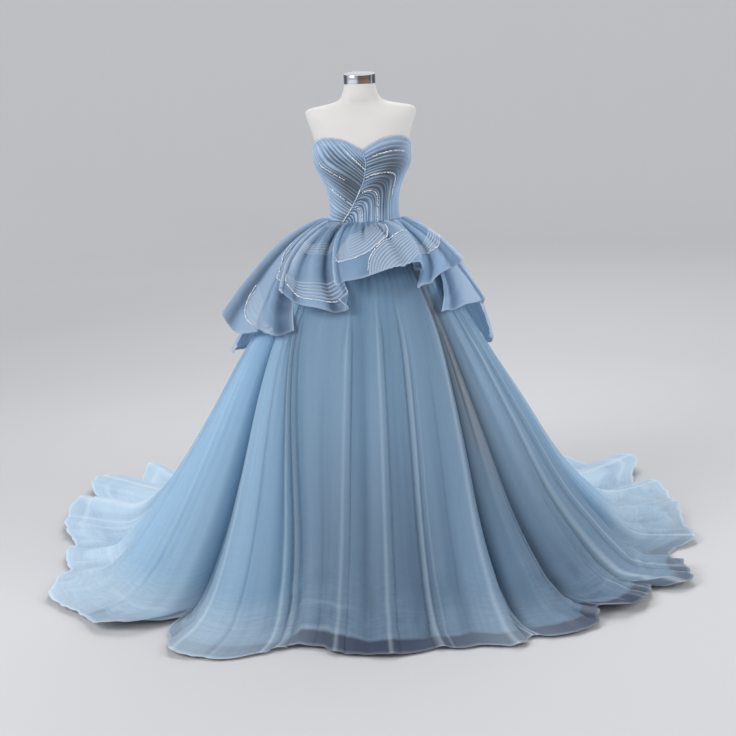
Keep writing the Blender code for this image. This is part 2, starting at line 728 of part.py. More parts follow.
def flounce_grid(rows, steps_per_row, steps):
    """A flounce's outer face: each line leaves the waist, bellies out and falls to the hem."""
    numbers = np.arange(len(rows))
    at = np.linspace(0, len(rows) - 1, (len(rows) - 1) * steps_per_row + 1)
    waist_angle, hem_angle, reach, height, belly, belly_height = (
        smooth(numbers, column(rows, k), at)[:, None] for k in range(6)
    )
    start = np.linalg.norm(form_point(waist_angle, WAIST, PEPLUM_OUT)[..., :2], axis=-1)
    w = np.linspace(0, 1, steps + 1)[None]
    first, middle, last = (1 - w) ** 2, 2 * w * (1 - w), w**2
    return polar(
        blend(waist_angle, hem_angle, last),
        first * start + middle * blend(start, reach, belly) + last * reach,
        first * SEAM_TOP + middle * belly_height + last * height,
    )


def make_peplum(finish):
    for name, rows in PEPLUM.items():
        outer = flounce_grid(rows, PEPLUM_STEPS_PER_ROW, PEPLUM_STEPS)
        normal = grid_normals(outer, wraps=False)
        if normal[..., 2].mean() < 0:
            normal = -normal
        inner = outer - normal * CLOTH
        top = outer[:, 0].copy()
        top[:, :2] *= 1 - CLOTH / np.linalg.norm(top[:, :2], axis=-1, keepdims=True)
        inner[:, 0] = top
        if name != "peplum_back":
            add_wall(name, outer, inner, finish)
            continue
        seam = PEPLUM_STEPS_PER_ROW * column(rows, 0).index(180.0)
        for side, half in (("_right", slice(0, seam + 1)), ("_left", slice(seam, None))):
            add_wall(name + side, pull_in(outer[half]), pull_in(inner[half]), finish)


def make_finish(name):
    colour, roughness, metallic = FINISHES[name]
    material = bpy.data.materials.new(name)
    material.use_nodes = True
    shader = material.node_tree.nodes["Principled BSDF"]
    shader.inputs["Base Color"].default_value = (*colour, 1.0)
    shader.inputs["Roughness"].default_value = roughness
    shader.inputs["Metallic"].default_value = metallic
    material.diffuse_color = (*colour, 1.0)
    return material


def main():
    for thing in list(bpy.data.objects):
        bpy.data.objects.remove(thing)
    finishes = {name: make_finish(name) for name in FINISHES}
    make_form(finishes["form cover"])
    make_cap(finishes["chrome"])
    make_stand(finishes["white paint"])
    make_bodice(finishes["pleated bodice"], finishes["tulle"])
    make_skirt(finishes["tulle"])
    make_underskirt(finishes["tulle"])
    make_peplum(finishes["peplum organza"])


main()
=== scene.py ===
"""A strapless ball gown with a train on a limbless dress form, with its cloth, beads and studio.

Metres, +Z up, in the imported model's own frame: the origin is on the floor under the
form's stand, the gown faces -Y and "left" is the -X side. Angles are in degrees round
the axis: 0 at the front, 90 on the right, 180 at the centre back and -90 on the left.
"""

from __future__ import annotations

import logging
import math
from dataclasses import dataclass, field
from enum import Enum
from typing import Sequence, Union

import bpy
import numpy as np
from mathutils import Matrix, Vector


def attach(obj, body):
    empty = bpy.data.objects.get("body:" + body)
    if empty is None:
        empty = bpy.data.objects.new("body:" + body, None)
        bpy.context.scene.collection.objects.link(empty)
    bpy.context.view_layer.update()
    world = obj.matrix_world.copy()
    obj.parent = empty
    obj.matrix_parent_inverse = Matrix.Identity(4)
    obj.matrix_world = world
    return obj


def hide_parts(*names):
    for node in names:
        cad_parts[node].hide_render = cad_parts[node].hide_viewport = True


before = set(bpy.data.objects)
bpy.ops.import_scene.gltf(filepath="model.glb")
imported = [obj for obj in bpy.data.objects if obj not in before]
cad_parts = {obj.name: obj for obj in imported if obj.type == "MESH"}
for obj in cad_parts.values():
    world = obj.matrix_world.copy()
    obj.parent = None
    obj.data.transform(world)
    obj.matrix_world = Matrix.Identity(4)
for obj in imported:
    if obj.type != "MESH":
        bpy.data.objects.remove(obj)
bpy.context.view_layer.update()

Array = np.ndarray
Number = Union[float, Array]
Pair = tuple[float, float]
Triple = tuple[float, float, float]
Colour = Triple
Rows = tuple[tuple[float, ...], ...]
Marks = dict[str, Array]
Settings = dict[Union[str, int], object]
Material = bpy.types.Material
Thing = bpy.types.Object
log = logging.getLogger("gown")

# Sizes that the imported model's source gives too
CLOTH = 0.002
SEAM_GAP = 0.0003
FORM_EASE = 0.003
BODICE_WALL = 0.0026
WAIST = 1.1
SEAM_TOP = WAIST - SEAM_GAP
SKIRT_OUT = FORM_EASE + CLOTH
PEPLUM_OUT = SKIRT_OUT + SEAM_GAP + CLOTH
BODY_RADIUS = 0.12  # turns degrees round the body into metres
NOISE_CELLS = 64  # noise repeats after so many cells


# --- Numbers ---


def smooth(places: Sequence[float], values: Sequence[float], at: Number) -> Array:
    """Reads a cubic curve that doesn't overshoot.

    Args:
        places: Where the values are given, in rising order.
        values: The curve's value at each place.
        at: Where to read the curve.

    Returns:
        The curve's values, in the shape of ``at``.
    """
    places, values = np.asarray(places, float), np.asarray(values, float)
    at = np.asarray(at, float)
    width = np.diff(places)
    slope = np.diff(values) / width
    tangent = np.zeros_like(values)
    product = slope[:-1] * slope[1:]
    total = np.where(product > 0, slope[:-1] + slope[1:], 1.0)
    tangent[1:-1] = np.where(product > 0, 2 * product / total, 0.0)
    tangent[0], tangent[-1] = slope[0], slope[-1]
    piece = np.clip(np.searchsorted(places, at) - 1, 0, len(width) - 1)
    t = np.clip((at - places[piece]) / width[piece], 0.0, 1.0)
    return (
        values[piece] * (1 + 2 * t) * (1 - t) ** 2
        + values[piece + 1] * t * t * (3 - 2 * t)
        + width[piece] * tangent[piece] * t * (1 - t) ** 2
        + width[piece] * tangent[piece + 1] * t * t * (t - 1)
    )


def blend(first: Number, second: Number, share: Number) -> Number:
    """Goes from the first value to the second as the share goes from 0 to 1."""
    return first + (second - first) * share


def soft_step(t: Number) -> Array:
    """A step from 0 to 1 with soft ends."""
    t = np.clip(t, 0.0, 1.0)
    return t * t * (3 - 2 * t)


def bell(distance: Number, width: float) -> Array:
    """A soft bump of height 1 that fades within about twice its width."""
    return np.exp(-((np.asarray(distance) / width) ** 2))


def unit(vectors: Array) -> Array:
    """Vectors of length 1 in the same directions."""
    return vectors / np.maximum(np.linalg.norm(vectors, axis=-1, keepdims=True), 1e-12)


def polar(angle: Number, reach: Number, height: Number) -> Array:
    """Points at these angles from the front and distances from the axis."""
    turn = np.radians(angle)
    return np.stack(np.broadcast_arrays(reach * np.sin(turn), -reach * np.cos(turn), height), -1)


def lattice_noise(across: Number, down: Number, seed: int) -> Array:
    """Smooth noise from -1 to 1, the same on each run.

    Args:
        across: First place, in cells.
        down: Second place, in cells.
        seed: Which noise.

    Returns:
        The noise at each place.
    """
    size = NOISE_CELLS
    lattice = np.random.default_rng(seed).uniform(-1, 1, (size, size))
    across, down = np.broadcast_arrays(np.asarray(across, float), np.asarray(down, float))
    i, j = np.floor(across).astype(int), np.floor(down).astype(int)
    u, v = soft_step(across - i), soft_step(down - j)
    corner = [[lattice[(i + a) % size, (j + b) % size] for b in (0, 1)] for a in (0, 1)]
    return blend(blend(corner[0][0], corner[1][0], u), blend(corner[0][1], corner[1][1], u), v)


@dataclass(frozen=True)
class Table:
    """Rows of numbers, each column read smoothly by the first one."""

    rows: Rows

    def column(self, number: int) -> list[float]:
        """One column of the table."""
        return [row[number] for row in self.rows]

    def read(self, number: int, at: Number) -> Array:
        """One column, read where the first column would have these values."""
        return smooth(self.column(0), self.column(number), at)

    def read_round(self, number: int, angle: Number) -> Array:
        """One column, read all the way round by an angle from -180 to 180.

        Args:
            number: Which column.
            angle: Where to read it, in degrees.

        Returns:
            The values there.
        """
        places, values = self.column(0), self.column(number)
        turned = (np.asarray(angle, float) + 180.0) % 360.0 - 180.0
        return smooth(
            [places[-1] - 360] + places + [places[0] + 360, places[1] + 360],
            values[-1:] + values + values[:2],
            turned,
        )


# --- Meshes ---


def grid_normals(grid: Array, wraps: bool = False) -> Array:
    """The unit normals of a grid of points.

    Args:
        grid: Points, as columns of levels.
        wraps: Whether the last column is beside the first.

    Returns:
        One normal for each point, outwards for columns that go down and to the right.
    """
    if wraps:
        across = np.roll(grid, -1, 0) - np.roll(grid, 1, 0)
    else:
        across = np.gradient(grid, axis=0)
    return unit(np.cross(np.gradient(grid, axis=1), across))


def along(path: Array, spacing: float) -> Array:
    """Points along a path at an even spacing, ends included.

    Args:
        path: The points of the path.
        spacing: About how far apart the new ones are.

    Returns:
        The new points.
    """
    steps = np.linalg.norm(np.diff(path, axis=0), axis=1)
    length = np.concatenate([[0.0], np.cumsum(steps)])
    at = np.linspace(0, length[-1], max(2, int(round(length[-1] / spacing)) + 1))
    return np.stack([np.interp(at, length, path[:, k]) for k in range(3)], -1)


def read_grid(grid: Array, across: Array, down: Array) -> Array:
    """Points between those of a grid.

    Args:
        grid: Points, as columns of levels.
        across: Shares of the way across, 0 to 1.
        down: Shares of the way down, 0 to 1.

    Returns:
        One point for each pair of shares.
    """
    x, y = across * (grid.shape[0] - 1), down * (grid.shape[1] - 1)
    i = np.clip(x.astype(int), 0, grid.shape[0] - 2)
    j = np.clip(y.astype(int), 0, grid.shape[1] - 2)
    a, b = (x - i)[:, None], (y - j)[:, None]
    upper = blend(grid[i, j], grid[i + 1, j], a)
    return blend(upper, blend(grid[i, j + 1], grid[i + 1, j + 1], a), b)


def cells(number: Array) -> Array:
    """The four corners of each cell in a grid of point numbers."""
    corners = (number[:-1, :-1], number[:-1, 1:], number[1:, 1:], number[1:, :-1])
    return np.stack([corner.ravel() for corner in corners], -1)


def marks_of(marks: Marks, kept: Array | slice) -> Marks:
    """The marks of some columns of a grid."""
    return {name: mark[kept] for name, mark in marks.items()}


class MeshParts:
    """Collects grids, tubes and beads, and joins them into one mesh object."""

    def __init__(self) -> None:
        """Starts with nothing."""
        self.points: list[Array] = []
        self.faces: list[Array] = []
        self.marks: dict[str, list[Array]] = {}
        self.count = 0

    def _add(self, points: Array, faces: Array, marks: dict[str, Number]) -> None:
        """Adds points and faces with their marks.

        Args:
            points: The points, as rows.
            faces: Four numbers of points for each face.
            marks: Each mark, as one value or one for each point.
        """
        size = len(points)
        for name in set(self.marks) | set(marks):
            if name not in self.marks:
                self.marks[name] = [np.zeros(self.count)]
            value = np.broadcast_to(np.asarray(marks.get(name, 0.0), float), (size,))
            self.marks[name].append(value)
        self.points.append(points)
        self.faces.append(faces + self.count)
        self.count += size

    def grid(self, grid: Array, marks: Marks, flip: bool = False) -> None:
        """Adds an open surface.

        Args:
            grid: Points, as columns of levels.
            marks: Values for each point, in the grid's shape.
            flip: Whether the faces look the other way.
        """
        shape = grid.shape[:2]
        faces = cells(np.arange(shape[0] * shape[1]).reshape(shape))
        flat = {name: np.broadcast_to(value, shape).ravel() for name, value in marks.items()}
        self._add(grid.reshape(-1, 3), faces[:, ::-1] if flip else faces, flat)

    def wall(self, outer: Array, inner: Array, marks: Marks) -> None:
        """Adds a closed wall between two grids of the same shape.

        Args:
            outer: The outer face.
            inner: The inner face.
            marks: Values for each point of either face.
        """
        shape = outer.shape[:2]
        size = shape[0] * shape[1]
        number = np.arange(size).reshape(shape)
        face = cells(number)
        ring = np.concatenate(
            [number[:, 0], number[-1, 1:], number[-2::-1, -1], number[0, -2:0:-1]]
        )
        after = np.roll(ring, -1)
        rim = np.stack([ring, after, after + size, ring + size], -1)
        flat = {
            name: np.tile(np.broadcast_to(value, shape).ravel(), 2) for name, value in marks.items()
        }
        points = np.concatenate([outer.reshape(-1, 3), inner.reshape(-1, 3)])
        self._add(points, np.concatenate([face, face[:, ::-1] + size, rim]), flat)

    def tube(self, path: Array, radius: float, sides: int, marks: dict[str, float]) -> None:
        """Adds a round tube along a path, closed at its ends.

        Args:
            path: The points of its centre line.
            radius: Its radius.
            sides: Sides of its section.
            marks: One value of each mark for the whole tube.
        """
        way = unit(np.gradient(path, axis=0))
        side = unit(np.cross(way, (0.31, 0.17, 0.93)))
        up = np.cross(side, way)
        turn = np.linspace(0, 2 * math.pi, sides, endpoint=False)[None, :, None]
        size = np.full(len(path), radius)
        size[[0, -1]] *= 0.2
        ring = path[:, None] + size[:, None, None] * (
            np.cos(turn) * side[:, None] + np.sin(turn) * up[:, None]
        )
        number = np.arange(len(path) * sides).reshape(len(path), sides)
        faces = cells(np.concatenate([number, number[:, :1]], 1))
        self._add(ring.reshape(-1, 3), faces, marks)

    def beads(self, centres: Array, radii: Array) -> None:
        """Adds small round beads.

        Args:
            centres: The middle of each bead.
            radii: The radius of each bead.
        """
        rings, sides = (-0.75, 0.0, 0.75), 6
        shape = [(0.0, 0.0, -1.0)]
        for rise in rings:
            wide = math.sqrt(1 - rise * rise)
            for k in range(sides):
                turn = 2 * math.pi * (k + 0.5 * (rise == 0)) / sides
                shape.append((wide * math.cos(turn), wide * math.sin(turn), rise))
        shape.append((0.0, 0.0, 1.0))
        last = len(shape) - 1
        faces = []
        for k in range(sides):
            after = (k + 1) % sides
            faces.append((0, 1 + after, 1 + k, 1 + k))
            for ring in range(len(rings) - 1):
                low, high = 1 + ring * sides, 1 + (ring + 1) * sides
                faces.append((low + k, low + after, high + after, high + k))
            top = 1 + (len(rings) - 1) * sides
            faces.append((top + k, top + after, last, last))
        shape, faces = np.array(shape), np.array(faces)
        points = centres[:, None] + radii[:, None, None] * shape[None]
        numbers = faces[None] + (np.arange(len(centres)) * len(shape))[:, None, None]
        self._add(points.reshape(-1, 3), numbers.reshape(-1, 4), {})

    def make(self, name: str, material: Material, sharp: float | None = 60.0) -> Thing:
        """Joins what was added into one object.

        Args:
            name: The object's name.
            material: Its finish.
            sharp: Edges that turn by more degrees than this are sharp; None for no sharp edge.

        Returns:
            The new object, shaded smooth, linked to the scene.
        """
        points, faces = np.concatenate(self.points), np.concatenate(self.faces)
        corners = [
            [face[0], face[1], face[2]] if face[2] == face[3] else list(face)
            for face in faces.tolist()
        ]
        mesh = bpy.data.meshes.new(name)
        mesh.from_pydata(points.tolist(), [], corners)
        for mark, values in self.marks.items():
            layer = mesh.attributes.new(mark, "FLOAT", "POINT")
            layer.data.foreach_set("value", np.concatenate(values).astype(np.float32))
        mesh.shade_smooth()
        if sharp is not None:
            mesh.set_sharp_from_angle(angle=math.radians(sharp))
        mesh.materials.append(material)
        mesh.validate()
        thing = bpy.data.objects.new(name, mesh)
        bpy.context.scene.collection.objects.link(thing)
        return thing


def place(thing: Thing, slot: str, nodes: Sequence[str]) -> None:
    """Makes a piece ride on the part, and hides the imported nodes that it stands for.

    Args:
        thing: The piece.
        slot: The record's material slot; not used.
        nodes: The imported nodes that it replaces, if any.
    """
    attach(thing, "root")
    if nodes:
        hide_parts(*nodes)
    log.info("%s: %d points", thing.name, len(thing.data.vertices))


# --- Shader nodes ---


class Value:
    """A shader socket that can be used in arithmetic."""

    def __init__(self, graph: Graph, socket: bpy.types.NodeSocket) -> None:
        """Wraps one output socket."""
        self.graph = graph
        self.socket = socket

    def _math(self, operation: str, first: Operand, second: Operand = 0.0) -> Value:
        """Adds one Math node."""
        sockets = {0: first, 1: second}
        return self.graph.node("ShaderNodeMath", {"operation": operation}, sockets)["Value"]

    def __add__(self, other: Operand) -> Value:
        """Self plus other."""
        return self._math("ADD", self, other)

    def __sub__(self, other: Operand) -> Value:
        """Self minus other."""
        return self._math("SUBTRACT", self, other)

    def __rsub__(self, other: Operand) -> Value:
        """Other minus self."""
        return self._math("SUBTRACT", other, self)

    def __mul__(self, other: Operand) -> Value:
        """Self times other."""
        return self._math("MULTIPLY", self, other)

    __radd__ = __add__
    __rmul__ = __mul__

    def clamp(self) -> Value:
        """This value held between 0 and 1."""
        return self._math("MAXIMUM", self._math("MINIMUM", self, 1.0), 0.0)


Operand = Union[Value, float]


class Graph:
    """The nodes of one material."""

    def __init__(self, name: str) -> None:
        """Makes an empty material.

        Args:
            name: The material's name.
        """
        self.material = bpy.data.materials.new(name)
        self.material.use_nodes = True
        self.tree = self.material.node_tree
        self.tree.nodes.clear()

    def node(
        self, kind: str, settings: Settings | None = None, sockets: Settings | None = None
    ) -> dict[str, Value]:
        """Adds a node.

        Args:
            kind: The node's type.
            settings: Its own settings, such as an operation, or a ramp's "stops".
            sockets: What its inputs hold: numbers, colours or other nodes' values.

        Returns:
            Its outputs, by identifier and by name.
        """
        made = self.tree.nodes.new(kind)
        for key, value in (settings or {}).items():
            if key == "stops":
                self._ramp(made.color_ramp, value)
            else:
                setattr(made, key, value)
        by_key = {socket.name: socket for socket in reversed(made.inputs)}
        by_key.update({socket.identifier: socket for socket in made.inputs})
        by_key.update(enumerate(made.inputs))
        for key, value in (sockets or {}).items():
            if isinstance(value, Value):
                self.tree.links.new(value.socket, by_key[key])
            elif isinstance(value, tuple) and len(value) == 3 and by_key[key].type == "RGBA":
                by_key[key].default_value = (*value, 1.0)
            else:
                by_key[key].default_value = value
        outputs = {socket.name: Value(self, socket) for socket in reversed(made.outputs)}
        outputs.update({s.identifier: Value(self, s) for s in made.outputs})
        return outputs

    @staticmethod
    def _ramp(ramp: bpy.types.ColorRamp, stops: Sequence[tuple[float, Colour]]) -> None:
        """Sets a colour ramp's stops.

        Args:
            ramp: The ramp.
            stops: The position and colour of each.
        """
        while len(ramp.elements) < len(stops):
            ramp.elements.new(1.0)
        for element, (position, colour) in zip(ramp.elements, stops):
            element.position = position
            element.color = (*colour, 1.0)

    def mark(self, name: str) -> Value:
        """A value that the mesh carries at each point."""
        return self.node("ShaderNodeAttribute", {"attribute_name": name})["Fac"]

    def place(self) -> Value:
        """Where the surface is, in the part's frame."""
        return self.node("ShaderNodeTexCoord")["Object"]

    def noise(self, scale: float, detail: float, at: Value | None = None) -> Value:
        """Soft noise from 0 to 1.

        Args:
            scale: Cells in a metre.
            detail: How many finer octaves it has.
            at: Where to read it; by default the place on the object.

        Returns:
            The noise.
        """
        sockets = {"Vector": at or self.place(), "Scale": scale, "Detail": detail}
        return self.node("ShaderNodeTexNoise", {}, sockets)["Fac"]

    def cloth(self, across: float, down: float) -> Value:
        """The place on the cloth, from its marks, scaled across the grain and down it."""
        parts = {"X": self.mark("across") * across, "Y": self.mark("down") * down}
        return self.node("ShaderNodeCombineXYZ", {}, parts)["Vector"]

    def shades(self, shades: Shades, share: Value, tone: Value) -> Value:
        """A cloth's colour.

        Args:
            shades: Its four colours.
            share: From 0 in a hollow, darkened with painted shade, to 1 on a crest.
            tone: Painted light, from 0 where the cloth is painted darker in shade to 1 where it is
                painted pale and lit.

        Returns:
            The colour.
        """
        shade_side = self.mix(share, shades.shade_side_hollow, shades.shade_side_crest)
        pale = self.mix(share, shades.lit_side_hollow, shades.lit_side_crest)
        return self.mix(tone.clamp(), shade_side, pale)

    def mix(self, share: Operand, first: object, second: object) -> Value:
        """A colour between two others."""
        sockets = {"Factor_Float": share, "A_Color": first, "B_Color": second}
        return self.node("ShaderNodeMix", {"data_type": "RGBA"}, sockets)["Result_Color"]

    def bump(self, height: Value, distance: float, strength: float) -> Value:
        """A normal from a height."""
        sockets = {"Height": height, "Distance": distance, "Strength": strength}
        return self.node("ShaderNodeBump", {}, sockets)["Normal"]

    def surface(
        self, glow: Colour | None = None, share: float = 0.0, **sockets: object
    ) -> Material:
        """Ends the material in a Principled shader.

        Args:
            glow: The colour of light that comes through thin cloth, if any does.
            share: How much of the light comes through.
            **sockets: The Principled shader's inputs, with underscores for spaces.

        Returns:
            The finished material.
        """
        named = {key.replace("_", " "): value for key, value in sockets.items()}
        shader = self.node("ShaderNodeBsdfPrincipled", {}, named)["BSDF"]
        if glow is not None:
            through = self.node("ShaderNodeBsdfTranslucent", {}, {"Color": glow})["BSDF"]
            mixed = self.node("ShaderNodeMixShader", {}, {0: share, 1: shader, 2: through})
            shader = mixed["Shader"]
        self.node("ShaderNodeOutputMaterial", {}, {"Surface": shader})
        return self.material


# --- Finishes ---


@dataclass(frozen=True)
class Shades:
    """A cloth's colours: lighter on its crests and darker in its hollows with painted shade, pale
    where painted light falls and darker where it is painted in shade.
    """

    lit_side_crest: Colour
    lit_side_hollow: Colour
    shade_side_crest: Colour
    shade_side_hollow: Colour


@dataclass(frozen=True)
class NetFinish:
    """Sheer net: hazy where it is close; sheer at the hem below the lining, where a painted shadow
    darkens it; pale along its edges, with doubled net and painted highlights.
    """

    name: str = "net"
    shades: Shades = Shades(
        (0.4, 0.6, 0.78), (0.25, 0.45, 0.67), (0.158, 0.235, 0.332), (0.075, 0.125, 0.195)
    )
    # line: pale edges and folds, partly doubled net and partly painted highlight, and painted light
    # on the lying train
    line: Colour = (0.66, 0.74, 0.8)
    # hem: the painted shadow of the skirt's inside, seen through the sheer hem
    hem: Colour = (0.036, 0.044, 0.07)
    warm: Colour = (0.26, 0.25, 0.245)
    body: float = 0.4
    threads: float = 900.0  # in a metre

    def material(self) -> Material:
        """Builds the shader.

        Returns:
            The material.
        """
        graph = Graph(self.name)
        fold, line = graph.mark("fold"), graph.mark("line")
        cloud = graph.noise(1.0, 2.0, graph.cloth(9.0, 3.0))
        streak = graph.noise(1.0, 3.0, graph.cloth(95.0, 1.6))
        # darker in hollows with painted shade; the tone mark is painted light
        share = fold * 0.6 + 0.5 + (cloud - 0.5) * 0.25 + (streak - 0.5) * 0.3
        colour = graph.shades(self.shades, share.clamp(), graph.mark("tone"))
        # painted shadow in the sheer hem: darker and denser
        band = graph.mark("band")
        colour = graph.mix(graph.mark("warm") * 0.7, colour, self.warm)
        colour = graph.mix(band * 0.92, colour, self.hem)
        colour = graph.mix((line * 0.7).clamp(), colour, self.line)
        threads = graph.noise(self.threads, 1.0)
        low = ((graph.mark("down") - 0.9) * 4.0).clamp()
        wrinkle = graph.noise(1.0, 2.0, graph.cloth(24.0, 130.0)) * low
        alpha = self.body + (cloud - 0.5) * 0.15 + (streak - 0.5) * 0.2 + (threads - 0.5) * 0.3
        alpha = alpha + wrinkle * 0.25 + (graph.mark("tone") - 1.0).clamp() * 1.6
        return graph.surface(
            Base_Color=colour, Roughness=0.75,
            Alpha=(alpha + fold * 0.1 + line * 0.35 + band * 0.55).clamp(), Sheen_Weight=0.6,
            Sheen_Roughness=0.3, Sheen_Tint=(0.86, 0.93, 1.0), Specular_IOR_Level=0.2,
            Normal=graph.bump(threads * 0.1 + wrinkle, 0.0022, 0.6),
        )


@dataclass(frozen=True)
class LiningFinish:
    """The close layers under the net: matt, with faint lengthwise streaks."""

    name: str = "lining"
    shades: Shades = Shades(
        (0.34, 0.54, 0.73), (0.16, 0.34, 0.53), (0.14, 0.215, 0.308), (0.048, 0.084, 0.137)
    )
    # line: a pale lower edge, and painted light on the lying train
    line: Colour = (0.63, 0.69, 0.74)
    warm: Colour = (0.3, 0.27, 0.25)

    def material(self) -> Material:
        """Builds the shader.

        Returns:
            The material.
        """
        graph = Graph(self.name)
        fold, line = graph.mark("fold"), graph.mark("line")
        streak = graph.noise(1.0, 3.0, graph.cloth(70.0, 1.2))
        cloud = graph.noise(1.0, 2.0, graph.cloth(7.0, 2.4))
        grain = graph.noise(420.0, 2.0)
        # darker in hollows with painted shade; the tone mark is painted light
        share = fold * 0.7 + 0.5 + (cloud - 0.5) * 0.25 + (streak - 0.5) * 0.25
        share = share + (grain - 0.5) * 0.7
        colour = graph.shades(self.shades, share.clamp(), graph.mark("tone"))
        colour = graph.mix(graph.mark("warm") * 0.8, colour, self.warm)
        colour = graph.mix(line.clamp(), colour, self.line)
        return graph.surface(
            Base_Color=colour, Roughness=0.62, Sheen_Weight=0.15, Sheen_Roughness=0.4,
            Sheen_Tint=(0.86, 0.93, 1.0), Specular_IOR_Level=0.3,
            Normal=graph.bump(grain + streak * 0.6, 0.0006, 0.4),
        )


@dataclass(frozen=True)
class OrganzaFinish:
    """Crisp organza with a low sheen, paler along ribs and rolled edges with painted highlights,
    darker in hollows with painted shade and paler where painted light falls.
    """

    name: str = "organza"
    shades: Shades = Shades(
        (0.42, 0.61, 0.84), (0.13, 0.24, 0.41), (0.3, 0.42, 0.57), (0.05, 0.085, 0.14)
    )
    line: Colour = (0.8, 0.88, 0.96)
    glow: Colour = (0.6, 0.75, 0.88)
    through: float = 0.42

    def material(self) -> Material:
        """Builds the shader.

        Returns:
            The material.
        """
        graph = Graph(self.name)
        fold, line = graph.mark("fold"), graph.mark("line")
        cloud = graph.noise(1.0, 3.0, graph.cloth(16.0, 9.0))
        streak = graph.noise(1.0, 2.0, graph.cloth(160.0, 12.0))
        # darker in hollows with painted shade; the tone mark is painted light
        share = fold * 0.8 + 0.6 + (cloud - 0.5) * 0.5 + (streak - 0.5) * 0.25
        colour = graph.shades(self.shades, share.clamp(), graph.mark("tone"))
        colour = graph.mix(line.clamp(), colour, self.line)
        weave = graph.noise(1500.0, 1.0)
        crumple = graph.noise(42.0, 4.0)
        return graph.surface(
            glow=self.glow, share=self.through, Base_Color=colour,
            Roughness=0.46 + (cloud - 0.5) * 0.15, Sheen_Weight=0.25, Sheen_Roughness=0.35,
            Sheen_Tint=(0.88, 0.94, 1.0), Specular_IOR_Level=0.4,
            Normal=graph.bump(weave * 0.25 + crumple, 0.0024, 0.7),
        )


@dataclass(frozen=True)
class PleatFinish:
    """Net laid in fine pleats over a grey-blue foundation, with painted shade in the pleats'
    hollows, hazier near the neckline and paler at the sides with painted light.
    """

    name: str = "pleated_net"
    # crest and hollow: each pleat is lighter on its crest and darker in its hollow, which is
    # painted shade
    crest: Colour = (0.41, 0.55, 0.73)
    hollow: Colour = (0.055, 0.082, 0.125)
    # the pale colour of the sheer net at the neckline, also used for painted light at the sides
    haze: Colour = (0.4, 0.56, 0.78)
    shade: Colour = (0.075, 0.093, 0.115)

    def material(self) -> Material:
        """Builds the shader.

        Returns:
            The material.
        """
        graph = Graph(self.name)
        pleat, tone = graph.mark("pleat"), graph.mark("tone")
        haze, shade = graph.mark("haze"), graph.mark("shade")
        cloud = graph.noise(24.0, 3.0)
        share = (pleat * 0.8 + tone * 0.3 + (cloud - 0.5) * 0.45).clamp()
        colour = graph.mix(share, self.hollow, self.crest)
        colour = graph.mix((shade * (1.15 - pleat * 0.45)).clamp(), colour, self.shade)
        colour = graph.mix((haze * 0.75).clamp(), colour, self.haze)
        weave = graph.noise(1300.0, 1.0)
        return graph.surface(
            Base_Color=colour, Roughness=0.6, Alpha=1 - graph.mark("sheer") * 0.85,
            Sheen_Weight=0.2, Sheen_Roughness=0.4, Sheen_Tint=(0.92, 0.96, 1.0),
            Specular_IOR_Level=0.3, Normal=graph.bump(weave, 0.0005, 0.5),
        )


@dataclass(frozen=True)
class BeadFinish:
    """Silver-lined glass beads."""

    name: str = "silver_beads"
    colour: Colour = (0.82, 0.86, 0.91)

    def material(self) -> Material:
        """Builds the shader.

        Returns:
            The material.
        """
        graph = Graph(self.name)
        spark = graph.noise(260.0, 1.0)
        colour = graph.mix(spark, self.colour, (0.97, 0.98, 1.0))
        return graph.surface(
            Base_Color=colour, Roughness=0.1 + spark * 0.15, Metallic=0.25, Coat_Weight=1.0,
            Coat_Roughness=0.05,
        )


@dataclass(frozen=True)
class CoverFinish:
    """The form's taut jersey cover, off-white, with a fine knit."""

    name: str = "form_jersey"
    colour: Colour = (0.64, 0.615, 0.595)

    def material(self) -> Material:
        """Builds the shader.

        Returns:
            The material.
        """
        graph = Graph(self.name)
        line = graph.mark("line")
        cloud = graph.noise(9.0, 2.0)
        colour = graph.mix(cloud, self.colour, (0.67, 0.65, 0.635))
        colour = graph.mix((line * 0.35).clamp(), colour, (0.45, 0.42, 0.4))
        knit = graph.noise(1200.0, 1.0)
        return graph.surface(
            Base_Color=colour, Roughness=0.55, Sheen_Weight=0.1, Specular_IOR_Level=0.35,
            Normal=graph.bump(knit, 0.0003, 0.35),
        )


@dataclass(frozen=True)
class MetalFinish:
    """Polished or painted metal with faint handling marks."""

    name: str
    colour: Colour
    roughness: float
    metallic: float

    def material(self) -> Material:
        """Builds the shader.

        Returns:
            The material.
        """
        graph = Graph(self.name)
        marks = graph.noise(45.0, 4.0)
        colour = graph.mix(marks * 0.15, self.colour, tuple(0.8 * c for c in self.colour))
        return graph.surface(
            Base_Color=colour, Roughness=self.roughness + marks * 0.06, Metallic=self.metallic,
        )


